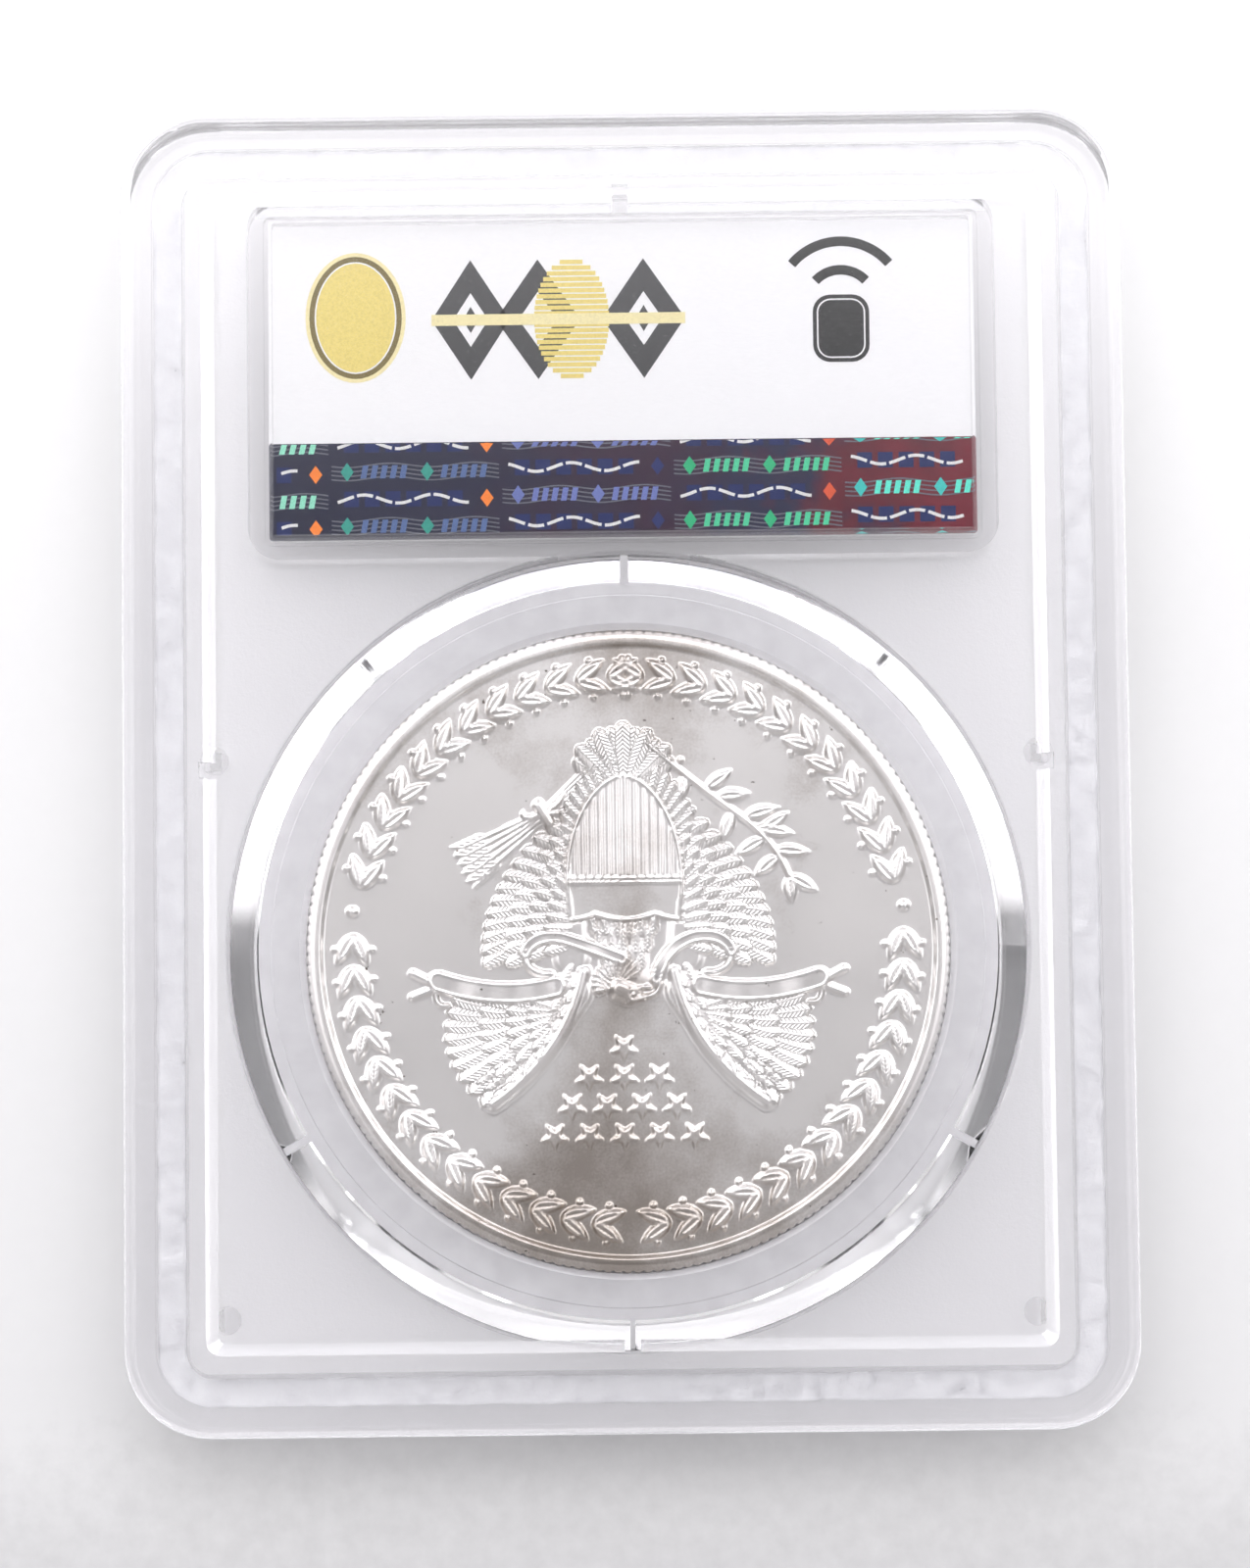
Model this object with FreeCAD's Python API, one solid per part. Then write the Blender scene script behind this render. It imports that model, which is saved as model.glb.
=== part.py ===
"""Graded coin slab: a sealed two-shell polystyrene holder with a large silver coin.

The slab lies flat with its reverse side up.  The origin is under its centre, on the
surface it lies on.  +X runs across the slab, +Y runs towards the label end and +Z is
up, out of the back shell.  All lengths are in millimetres.
"""
import FreeCAD, Part
import math
import os

Vector = FreeCAD.Vector

# ---- driving dimensions -----------------------------------------------------------
SLAB_WIDTH = 63.5
SLAB_HEIGHT = 83.8
SLAB_THICKNESS = 8.0
CORNER_RADIUS = 5.5
EDGE_ROUND = 0.7                 # rounding of the outer face's rim
SEAM_GAP = 0.1                   # daylight between the shells, apart from the weld

RIM_WIDTH = 5.15                 # raised stacking rim, from the outside inwards
RIM_STEP_RUN = 0.75              # sloped step from the rim down to the panel
RIM_STEP_DEPTH = 0.95
PANEL_THICKNESS = 1.3
RIM_CORNER_RADIUS = 1.0
PANEL_CORNER_RADIUS = 0.5
RIM_NOTCH_LENGTH = 1.0           # small index notches in the inner edge of the rim
RIM_NOTCH_DEPTH = 0.3

WALL_WIDTH = 4.05                # solid perimeter wall at the seam
CAVITY_CORNER_RADIUS = 1.3

GROOVE_INSET = 1.8               # weld groove, measured from the slab's edge
GROOVE_WIDTH = 2.1
GROOVE_DEPTH = 0.65
GROOVE_CORNER_RADIUS = 3.8
TONGUE_SIDE_CLEARANCE = 0.15
BEAD_HEIGHT = 0.25
BEAD_SIDE_CLEARANCE = 0.1

COIN_DIAMETER = 40.6
COIN_THICKNESS = 2.98
COIN_CENTRE_Y = -11.5
COIN_RIM_WIDTH = 0.95
COIN_FIELD_DEPTH = 0.42
COIN_RIM_SLOPE = 0.3
REED_COUNT = 200
REED_DEPTH = 0.12

WELL_RADIUS_AT_PANEL = 23.3      # coin well wall, bevelled inside
WELL_BEVEL_RUN = 1.09            # how far the bevel runs outwards per unit of depth
WELL_OUTER_RADIUS = 25.35
KEY_ANGLES = (90.0, 210.0, 330.0)
KEY_SLOT_WIDTH = 0.55
GATE_SLOT_ANGLE = 270.0
GATE_SLOT_WIDTH = 0.3
SLOT_SKIN = 0.2                  # wall left standing outside each slot

GASKET_CLEARANCE = 0.05
GASKET_HALF_THICKNESS = 1.45
GASKET_STEP_RADIUS = 22.5        # the seat outside this radius is a little lower
GASKET_STEP = 0.07
GASKET_CHAMFER = 0.4
GASKET_KEY_HALF_HEIGHT = 1.65
GASKET_TIP_INSET = 0.3           # from the well's outside to the gasket's outer edge
GASKET_KEY_ROOT = 0.1            # how far each key reaches into the ring

LABEL_WIDTH = 45.0
LABEL_HEIGHT = 20.6
LABEL_CENTRE_Y = 25.1
LABEL_CARD = 0.26
LABEL_CORNER_RADIUS = 0.25
LABEL_STACK_HALF = 0.41          # half of the height that the ledges leave free
POCKET_CLEARANCE = 0.3
STACK_CLEARANCE = 0.03           # above and below the stack of cards
LEDGE_OVERLAP = 0.25             # how far the ledges reach over the cards
RIB_WALL = 1.0
RIB_CORNER_RADIUS = 2.0

STRIP_HEIGHT = 6.3
STRIP_THICKNESS = 0.05

FILM_WIDTH = 38.0
FILM_HEIGHT = 16.0
FILM_THICKNESS = 0.06
FILM_CORNER_RADIUS = 1.0
COIL_TURNS = 5
COIL_TRACK = 0.6
COIL_PITCH = 1.1
COIL_THICKNESS = 0.05
COIL_MARGIN = 1.0                # from the film's edge to the outer turn
CHIP_SIZE = 1.2
CHIP_THICKNESS = 0.05
BRIDGE_WIDTH = 0.8
BRIDGE_PAD = 0.4
BRIDGE_THICKNESS = 0.03
BRIDGE_CHIP_GAP = 0.1

PIN_MARK_RADIUS = 0.9            # ejector-pin witness marks inside the panels
PIN_MARK_DEPTH = 0.08
PIN_MARKS = ((26.0, 0.7), (25.4, -34.5))

# ---- values worked out from them --------------------------------------------------
SEAM_Z = SLAB_THICKNESS / 2
SHELL_BASE = SEAM_Z + SEAM_GAP / 2
PANEL_OUTER_Z = SLAB_THICKNESS - RIM_STEP_DEPTH
PANEL_INNER_Z = PANEL_OUTER_Z - PANEL_THICKNESS
COIN_RADIUS = COIN_DIAMETER / 2
LEDGE_Z = SEAM_Z + LABEL_STACK_HALF
GROOVE_FLOOR_Z = SEAM_Z - SEAM_GAP / 2 - GROOVE_DEPTH
TONGUE_TIP_Z = GROOVE_FLOOR_Z + BEAD_HEIGHT
CARD_TOP = LEDGE_Z - STACK_CLEARANCE - STRIP_THICKNESS
LOWER_CARD_BASE = SEAM_Z - LABEL_STACK_HALF + STACK_CLEARANCE
FILM_BASE = LOWER_CARD_BASE + LABEL_CARD
COIL_BASE = FILM_BASE + FILM_THICKNESS
MILLING_SLACK = 1.0              # how far cutting shapes overshoot a surface
SAME_PLACE = 1e-9                # coordinates closer than this are the same
COIN_CENTRE = Vector(0, COIN_CENTRE_Y, 0)


# ---- helpers ----------------------------------------------------------------------
def rounded_outline(width, height, radius, z, centre_y=0.0):
    """Closed wire: a rectangle with quarter-round corners, centred on x = 0."""
    half_w, half_h = width / 2, height / 2
    diagonal = radius * math.sqrt(0.5)
    edges = []
    previous = None
    corners = ((1, 1), (-1, 1), (-1, -1), (1, -1))
    for index, (sx, sy) in enumerate(corners):
        centre = Vector(sx * (half_w - radius), centre_y + sy * (half_h - radius), z)
        along_x = centre + Vector(sx * radius, 0, 0)
        along_y = centre + Vector(0, sy * radius, 0)
        start, end = (along_x, along_y) if index % 2 == 0 else (along_y, along_x)
        middle = centre + Vector(sx * diagonal, sy * diagonal, 0)
        if previous is None:
            first = start
        else:
            edges.append(Part.LineSegment(previous, start).toShape())
        edges.append(Part.Arc(start, middle, end).toShape())
        previous = end
    edges.append(Part.LineSegment(previous, first).toShape())
    return Part.Wire(edges)


def plate(width, height, radius, low, high, centre_y=0.0):
    """Rounded rectangular plate between two heights."""
    outline = rounded_outline(width, height, radius, low, centre_y)
    return Part.Face(outline).extrude(Vector(0, 0, high - low))


def turned(profile, centre=COIN_CENTRE):
    """Solid of revolution of (radius, height) points about a vertical axis."""
    points = [Vector(radius, 0, height) for radius, height in profile]
    face = Part.Face(Part.makePolygon(points + points[:1]))
    solid = face.revolve(Vector(0, 0, 0), Vector(0, 0, 1), 360)
    solid.translate(centre)
    return solid


def radial_bar(angle, width, inner, outer, low, high):
    """Bar that lies along a radius of the coin well."""
    bar = Part.makeBox(outer - inner, width, high - low, Vector(inner, -width / 2, low))
    bar.rotate(Vector(0, 0, 0), Vector(0, 0, 1), angle)
    bar.translate(COIN_CENTRE)
    return bar


def slab_plate(inset, radius, low, high):
    """Plate whose edge is a given distance inside the slab's outline."""
    return plate(SLAB_WIDTH - 2 * inset, SLAB_HEIGHT - 2 * inset, radius, low, high)


def mirrored_in_seam(shape):
    """The same shape on the other side of the seam plane."""
    return shape.mirror(Vector(0, 0, SEAM_Z), Vector(0, 0, 1))


# ---- shells -----------------------------------------------------------------------
def outer_body():
    """Upper half of the closed slab, with its outer edge rounded."""
    body = slab_plate(0, CORNER_RADIUS, SHELL_BASE, SLAB_THICKNESS)
    rim_edges = [edge for edge in body.Edges
                 if edge.BoundBox.ZMin > SLAB_THICKNESS - 1e-6]
    return body.makeFillet(EDGE_ROUND, rim_edges)


def rim_recess():
    """Space inside the stacking rim: a shallow pan with sloped sides."""
    outlines = [rounded_outline(SLAB_WIDTH - 2 * inset, SLAB_HEIGHT - 2 * inset, radius, z)
                for inset, radius, z in (
                    (RIM_WIDTH + RIM_STEP_RUN, PANEL_CORNER_RADIUS, PANEL_OUTER_Z),
                    (RIM_WIDTH, RIM_CORNER_RADIUS, SLAB_THICKNESS))]
    return Part.makeLoft(outlines, True, True)


def rim_notches():
    """Index notches at the middle of each side of the rim's inner edge."""
    reach = RIM_NOTCH_DEPTH + MILLING_SLACK
    notches = []
    for angle, half_span in ((0, SLAB_WIDTH / 2), (90, SLAB_HEIGHT / 2),
                             (180, SLAB_WIDTH / 2), (270, SLAB_HEIGHT / 2)):
        inner = half_span - RIM_WIDTH - MILLING_SLACK
        notch = Part.makeBox(reach, RIM_NOTCH_LENGTH, RIM_STEP_DEPTH + MILLING_SLACK,
                             Vector(inner, -RIM_NOTCH_LENGTH / 2, PANEL_OUTER_Z))
        notch.rotate(Vector(0, 0, 0), Vector(0, 0, 1), angle)
        notches.append(notch)
    return notches


def well_radius(height):
    """Radius of the well's bevel at a height above or below the seam plane."""
    return WELL_RADIUS_AT_PANEL + WELL_BEVEL_RUN * (PANEL_INNER_Z - SEAM_Z - height)


def coin_well_wall():
    """Ring that seats the gasket, bevelled inside and slotted for its keys."""
    ring = turned([(WELL_RADIUS_AT_PANEL, PANEL_INNER_Z),
                   (WELL_OUTER_RADIUS, PANEL_INNER_Z),
                   (WELL_OUTER_RADIUS, SHELL_BASE),
                   (well_radius(SHELL_BASE - SEAM_Z), SHELL_BASE)])
    slots = [(angle, KEY_SLOT_WIDTH) for angle in KEY_ANGLES]
    slots.append((GATE_SLOT_ANGLE, GATE_SLOT_WIDTH))
    cutters = [radial_bar(angle, width, WELL_RADIUS_AT_PANEL - MILLING_SLACK,
                          WELL_OUTER_RADIUS - SLOT_SKIN, SHELL_BASE - MILLING_SLACK,
                          PANEL_INNER_Z)
               for angle, width in slots]
    return ring.cut(cutters)


def label_rib():
    """Wall round the label pocket, with the ledge that holds down the cards."""
    pocket_w = LABEL_WIDTH + 2 * POCKET_CLEARANCE
    pocket_h = LABEL_HEIGHT + 2 * POCKET_CLEARANCE
    rib = plate(pocket_w + 2 * RIB_WALL, pocket_h + 2 * RIB_WALL, RIB_CORNER_RADIUS,
                SHELL_BASE, PANEL_INNER_Z, LABEL_CENTRE_Y)
    pocket = plate(pocket_w, pocket_h, LABEL_CORNER_RADIUS + POCKET_CLEARANCE,
                   SHELL_BASE - MILLING_SLACK, LEDGE_Z, LABEL_CENTRE_Y)
    window = plate(LABEL_WIDTH - 2 * LEDGE_OVERLAP, LABEL_HEIGHT - 2 * LEDGE_OVERLAP,
                   LABEL_CORNER_RADIUS, SHELL_BASE, PANEL_INNER_Z, LABEL_CENTRE_Y)
    return rib.cut([pocket, window])


def pin_marks():
    """Round witness marks that the ejector pins leave inside the panel."""
    marks = []
    for x, y in PIN_MARKS:
        for side in (-1, 1):
            marks.append(Part.makeCylinder(PIN_MARK_RADIUS, PIN_MARK_DEPTH + MILLING_SLACK,
                                           Vector(side * x, y,
                                                  PANEL_INNER_Z - MILLING_SLACK)))
    return marks


def shell_half():
    """The part of the upper shell that both shells have in common."""
    cavity = slab_plate(WALL_WIDTH, CAVITY_CORNER_RADIUS,
                        SHELL_BASE - MILLING_SLACK, PANEL_INNER_Z)
    opened = outer_body().cut([rim_recess(), cavity] + rim_notches())
    whole = opened.fuse([coin_well_wall(), label_rib()])
    return whole.cut(pin_marks()).removeSplitter()


def weld_frame(side_clearance, low, high):
    """Frame that follows the weld groove, narrower by a clearance on each side."""
    outer_inset = GROOVE_INSET + side_clearance
    inner_inset = GROOVE_INSET + GROOVE_WIDTH - side_clearance
    outer = slab_plate(outer_inset, GROOVE_CORNER_RADIUS - side_clearance, low, high)
    inner_radius = GROOVE_CORNER_RADIUS - GROOVE_WIDTH + side_clearance
    inner = slab_plate(inner_inset, inner_radius, low - MILLING_SLACK,
                       high + MILLING_SLACK)
    return outer.cut(inner)


def back_shell():
    """Upper shell, with the weld tongue."""
    tongue = weld_frame(TONGUE_SIDE_CLEARANCE, TONGUE_TIP_Z, SHELL_BASE)
    return shell_half().fuse(tongue).removeSplitter()


def front_shell():
    """Lower shell, with the weld groove."""
    groove = weld_frame(0.0, GROOVE_FLOOR_Z, SEAM_Z)
    return mirrored_in_seam(shell_half()).cut(groove)


def weld_bead():
    """Plastic that the weld has melted between the tongue and the groove's floor."""
    return weld_frame(BEAD_SIDE_CLEARANCE, GROOVE_FLOOR_Z, TONGUE_TIP_Z)


# ---- coin and gasket --------------------------------------------------------------
def coin():
    """Reeded disc with a raised rim round both fields."""
    points = []
    for index in range(2 * REED_COUNT):
        radius = COIN_RADIUS - (REED_DEPTH if index % 2 else 0.0)
        angle = math.pi * index / REED_COUNT
        points.append(Vector(radius * math.cos(angle), radius * math.sin(angle),
                             -COIN_THICKNESS / 2))
    blank = Part.Face(Part.makePolygon(points + points[:1]))
    blank = blank.extrude(Vector(0, 0, COIN_THICKNESS))
    field_z = COIN_THICKNESS / 2 - COIN_FIELD_DEPTH
    field_radius = COIN_RADIUS - COIN_RIM_WIDTH - COIN_RIM_SLOPE
    flare = COIN_RIM_SLOPE / COIN_FIELD_DEPTH
    height = COIN_FIELD_DEPTH + MILLING_SLACK
    field = Part.makeCone(field_radius, field_radius + flare * height, height,
                          Vector(0, 0, field_z))
    other_field = field.mirror(Vector(0, 0, 0), Vector(0, 0, 1))
    disc = blank.cut([field, other_field])
    disc.translate(COIN_CENTRE + Vector(0, 0, SEAM_Z))
    return disc


def gasket_edge(height):
    """Radius of the gasket's bevelled edge at a height above the seam plane."""
    return well_radius(height) - GASKET_CLEARANCE * math.hypot(1, WELL_BEVEL_RUN)


def coin_gasket():
    """Clear ring round the coin, keyed into the slots of the well."""
    inner = COIN_RADIUS + GASKET_CLEARANCE
    high = GASKET_HALF_THICKNESS
    seat = GASKET_HALF_THICKNESS - GASKET_STEP
    tip = WELL_OUTER_RADIUS - GASKET_TIP_INSET
    upper = [(inner, high - GASKET_CHAMFER), (inner + GASKET_CHAMFER, high),
             (GASKET_STEP_RADIUS, high), (GASKET_STEP_RADIUS + GASKET_STEP, seat),
             (gasket_edge(seat), seat), (tip, (gasket_edge(0) - tip) / WELL_BEVEL_RUN)]
    lower = [(radius, -height) for radius, height in reversed(upper)]
    ring = turned([(radius, SEAM_Z + height) for radius, height in upper + lower])
    keys = [radial_bar(angle, KEY_SLOT_WIDTH - 2 * GASKET_CLEARANCE,
                       WELL_RADIUS_AT_PANEL - GASKET_KEY_ROOT, tip,
                       SEAM_Z - GASKET_KEY_HALF_HEIGHT, SEAM_Z + GASKET_KEY_HALF_HEIGHT)
            for angle in KEY_ANGLES]
    return ring.fuse(keys).removeSplitter()


# ---- label stack ------------------------------------------------------------------
def label_card(low):
    """Printed paper card."""
    return plate(LABEL_WIDTH, LABEL_HEIGHT, LABEL_CORNER_RADIUS, low,
                 low + LABEL_CARD, LABEL_CENTRE_Y)


def hologram_strip():
    """Foil strip along the lower edge of the back card."""
    centre_y = LABEL_CENTRE_Y - LABEL_HEIGHT / 2 + STRIP_HEIGHT / 2
    return plate(LABEL_WIDTH, STRIP_HEIGHT, LABEL_CORNER_RADIUS, CARD_TOP,
                 CARD_TOP + STRIP_THICKNESS, centre_y)


def nfc_film():
    """Carrier film of the radio tag, between the two cards."""
    return plate(FILM_WIDTH, FILM_HEIGHT, FILM_CORNER_RADIUS, FILM_BASE, COIL_BASE,
                 LABEL_CENTRE_Y)


def track(x0, y0, x1, y1):
    """Straight run of foil track with square ends, from one point to another."""
    half = COIL_TRACK / 2
    low_x, high_x = min(x0, x1) - half, max(x0, x1) + half
    low_y, high_y = min(y0, y1) - half, max(y0, y1) + half
    return Part.makeBox(high_x - low_x, high_y - low_y, COIL_THICKNESS,
                        Vector(low_x, low_y + LABEL_CENTRE_Y, COIL_BASE))


def coil_corners():
    """Corners of the square spiral, from its outer end to its inner end."""
    half_w = FILM_WIDTH / 2 - COIL_MARGIN
    half_h = FILM_HEIGHT / 2 - COIL_MARGIN
    corners = [(0.0, -half_h)]
    for turn in range(COIL_TURNS):
        step = turn * COIL_PITCH
        corners += [(half_w - step, -half_h + step), (half_w - step, half_h - step),
                    (-half_w + step, half_h - step),
                    (-half_w + step, -half_h + step + COIL_PITCH)]
    corners.append((0.0, corners[-1][1]))
    return corners


def nfc_antenna():
    """Etched aluminium coil of the radio tag."""
    corners = coil_corners()
    # the first run of each turn starts one pitch further in than the turn before
    path = [corners[0]]
    for point in corners[1:]:
        last = path[-1]
        if abs(last[0] - point[0]) > SAME_PLACE and abs(last[1] - point[1]) > SAME_PLACE:
            path.append((last[0], point[1]))
        path.append(point)
    runs = [track(*start, *end) for start, end in zip(path, path[1:])]
    return runs[0].fuse(runs[1:]).removeSplitter()


def nfc_chip():
    """Bare chip at the inner end of the coil."""
    x, y = coil_corners()[-1]
    return Part.makeBox(CHIP_SIZE, CHIP_SIZE, CHIP_THICKNESS,
                        Vector(x - CHIP_SIZE / 2, y + LABEL_CENTRE_Y - CHIP_SIZE / 2,
                               COIL_BASE + COIL_THICKNESS))


def nfc_bridge():
    """Insulated jumper that brings the coil's outer end in over its turns."""
    x, outer_y = coil_corners()[0]
    inner_y = coil_corners()[-1][1]
    low = outer_y - BRIDGE_PAD + LABEL_CENTRE_Y
    high = inner_y - CHIP_SIZE / 2 - BRIDGE_CHIP_GAP + LABEL_CENTRE_Y
    return Part.makeBox(BRIDGE_WIDTH, high - low, BRIDGE_THICKNESS,
                        Vector(x - BRIDGE_WIDTH / 2, low, COIL_BASE + COIL_THICKNESS))


# ---- build ------------------------------------------------------------------------
NODES = {
    "front_shell": front_shell,
    "back_shell": back_shell,
    "weld_bead": weld_bead,
    "coin": coin,
    "coin_gasket": coin_gasket,
    "front_label": lambda: label_card(LOWER_CARD_BASE),
    "back_label": lambda: label_card(CARD_TOP - LABEL_CARD),
    "hologram_strip": hologram_strip,
    "nfc_film": nfc_film,
    "nfc_antenna": nfc_antenna,
    "nfc_chip": nfc_chip,
    "nfc_bridge": nfc_bridge,
}

os.makedirs("parts", exist_ok=True)
for name, make in NODES.items():
    shape = make()
    if not shape.isValid() or len(shape.Solids) != 1:
        raise RuntimeError(f"{name}: valid {shape.isValid()}, {len(shape.Solids)} solids")
    shape.Solids[0].exportStep(f"parts/{name}.step")
    box = shape.BoundBox
    print(f"{name:15s} volume {shape.Volume:9.3f} mm3, "
          f"x {box.XMin:.2f} to {box.XMax:.2f}, y {box.YMin:.2f} to {box.YMax:.2f}, "
          f"z {box.ZMin:.2f} to {box.ZMax:.2f}")
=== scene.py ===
"""Looks of the graded coin slab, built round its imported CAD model.

Everything is in metres in the CAD's own frame: the slab lies flat on the floor with its
reverse side up, +X to the right, +Y towards the label.
"""
import math

import bpy
import numpy as np
from mathutils import Matrix, Vector
from mathutils.geometry import tessellate_polygon


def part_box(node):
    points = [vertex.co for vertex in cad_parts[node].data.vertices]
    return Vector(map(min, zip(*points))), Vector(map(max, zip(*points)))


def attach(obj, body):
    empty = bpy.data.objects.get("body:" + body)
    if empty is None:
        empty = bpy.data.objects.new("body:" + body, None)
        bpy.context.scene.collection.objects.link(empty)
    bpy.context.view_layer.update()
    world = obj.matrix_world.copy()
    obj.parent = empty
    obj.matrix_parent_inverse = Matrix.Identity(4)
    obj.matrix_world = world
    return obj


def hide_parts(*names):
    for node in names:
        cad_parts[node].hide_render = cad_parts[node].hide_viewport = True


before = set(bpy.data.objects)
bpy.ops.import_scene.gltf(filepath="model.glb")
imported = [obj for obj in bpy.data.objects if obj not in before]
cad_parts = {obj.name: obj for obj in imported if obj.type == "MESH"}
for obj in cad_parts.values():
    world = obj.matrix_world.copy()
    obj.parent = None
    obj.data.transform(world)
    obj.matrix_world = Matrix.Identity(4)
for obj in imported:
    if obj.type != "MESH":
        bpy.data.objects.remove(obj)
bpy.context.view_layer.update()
MM = 0.001
BODY = "root"


# ---- places taken from the frame ---------------------------------------------------
def middle(node):
    """Centre of a CAD node's box."""
    low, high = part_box(node)
    return (low + high) / 2


def extent(node):
    """Size of a CAD node's box along X, Y and Z."""
    low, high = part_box(node)
    return high - low


SLAB_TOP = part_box("back_shell")[1].z
SEAM_Z = SLAB_TOP / 2
COIN_CENTRE = middle("coin")
COIN_RADIUS = extent("coin").x / 2
LABEL_CENTRE = middle("back_label")


# ---- shader graphs -----------------------------------------------------------------
class Graph:
    """A node tree with short calls for the nodes used here."""

    def __init__(self, tree):
        self.tree = tree
        self.tree.nodes.clear()

    def add(self, kind, inputs=None, **settings):
        """A node with its settings and inputs; an input may be a value or a socket."""
        node = self.tree.nodes.new(kind)
        for name, value in settings.items():
            setattr(node, name, value)
        for key, value in (inputs or {}).items():
            self.feed(node.inputs[key], value)
        return node

    def feed(self, socket, value):
        """Sets a socket's value, or links another socket to it."""
        if isinstance(value, bpy.types.NodeSocket):
            self.tree.links.new(value, socket)
        else:
            socket.default_value = value

    def math(self, operation, first, second=0.0):
        """Result of a maths node."""
        return self.add("ShaderNodeMath", {0: first, 1: second},
                        operation=operation).outputs[0]

    def times(self, first, second):
        """Product of two values."""
        return self.math("MULTIPLY", first, second)

    def total(self, first, *others):
        """Sum of any number of values."""
        for value in others:
            first = self.math("ADD", first, value)
        return first

    def vector_math(self, operation, first, second):
        """Value that a vector maths node gives."""
        return self.add("ShaderNodeVectorMath", {0: first, 1: second},
                        operation=operation).outputs["Value"]

    def blend(self, share, first, second):
        """Value between two others, by share."""
        return self.add("ShaderNodeMix", {
            "Factor": share, 2: first, 3: second}).outputs[0]

    def position(self):
        """The shaded point in the object's own frame, in metres, and its X, Y and Z."""
        where = self.add("ShaderNodeTexCoord").outputs["Object"]
        parts = self.add("ShaderNodeSeparateXYZ", {0: where})
        return where, parts.outputs[0], parts.outputs[1], parts.outputs[2]

    def noise(self, scale, detail, roughness, place):
        """Fractal noise from 0 to 1; scale is in features per metre."""
        return self.add("ShaderNodeTexNoise", {
            "Vector": place, "Scale": scale, "Detail": detail,
            "Roughness": roughness}).outputs["Fac"]

    def ramp(self, factor, stops):
        """Colour ramp of (place, colour) stops."""
        node = self.add("ShaderNodeValToRGB", {"Fac": factor})
        elements = node.color_ramp.elements
        while len(elements) < len(stops):
            elements.new(0.5)
        for element, (place, colour) in zip(elements, stops):
            element.position = place
            element.color = (*colour, 1.0)
        return node.outputs["Color"]

    def span(self, value, low, high, to_low, to_high):
        """A value carried from one range to another, held inside it."""
        node = self.add("ShaderNodeMapRange", {
            "Value": value, "From Min": low, "From Max": high,
            "To Min": to_low, "To Max": to_high})
        return node.outputs["Result"]

    def bump(self, height, distance):
        """Surface normal of a height, with its depth in metres."""
        return self.add("ShaderNodeBump", {
            "Height": height, "Distance": distance, "Strength": 1.0}).outputs["Normal"]

    def solid(self, **inputs):
        """Principled shader; an input's name is written with _ for each space."""
        return self.add("ShaderNodeBsdfPrincipled", {
            name.replace("_", " "): value for name, value in inputs.items()})


def new_material(name):
    """A material and the graph of its node tree."""
    material = bpy.data.materials.new(name)
    material.use_nodes = True
    return material, Graph(material.node_tree)


def finish_surface(graph, shader):
    """Links a shader to the material's output."""
    graph.add("ShaderNodeOutputMaterial", {"Surface": shader.outputs[0]})


def add_object(name, corners, faces, material, smoothed=False):
    """Mesh object in the scene, with one material."""
    mesh = bpy.data.meshes.new(name)
    mesh.from_pydata(corners, [], faces)
    mesh.polygons.foreach_set("use_smooth", [smoothed] * len(mesh.polygons))
    mesh.materials.append(material)
    piece = bpy.data.objects.new(name, mesh)
    bpy.context.scene.collection.objects.link(piece)
    return piece


def speckled(name, noise, stops, roughness, depth, **inputs):
    """Material whose colour and fine bumps, depth millimetres deep, follow one noise.

    The roughness is a number, or a pair of them that the noise runs between.
    """
    material, graph = new_material(name)
    grain = graph.noise(*noise, graph.position()[0])
    if isinstance(roughness, tuple):
        roughness = graph.span(grain, 0.3, 0.7, *roughness)
    finish_surface(graph, graph.solid(
        Base_Color=graph.ramp(grain, stops), Roughness=roughness,
        Normal=graph.bump(grain, depth * MM), **inputs))
    return material


def see_through(graph, solid, tint):
    """The shader, except that light from lamps passes straight through it."""
    clear = graph.add("ShaderNodeBsdfTransparent", {"Color": (*tint, 1.0)})
    lamps = graph.add("ShaderNodeLightPath").outputs["Is Shadow Ray"]
    return graph.add("ShaderNodeMixShader", {
        0: lamps, 1: solid.outputs[0], 2: clear.outputs[0]})


STYRENE_IOR = 1.59
RING_RADIUS = 25.4 * MM          # outside of the ring round the coin
WINDOW_RADIUS = 25.2 * MM        # polished window over the coin
LABEL_EDGE_X = 22.3 * MM         # half the window over the label, across
LABEL_EDGE_Y = 10.1 * MM         # and along the slab
PANEL_INNER = 1.75 * MM          # panels' inner faces, from the seam
LAND_REACH = 0.3 * MM            # weld land, from the seam
STYRENE_TINT = (0.99, 0.985, 0.995)
POLISH, PANEL_DULLNESS, LAND_DULLNESS = 0.02, 0.28, 0.05
FRAME_CLARITY = 0.93             # share of light let through outside the windows


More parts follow.
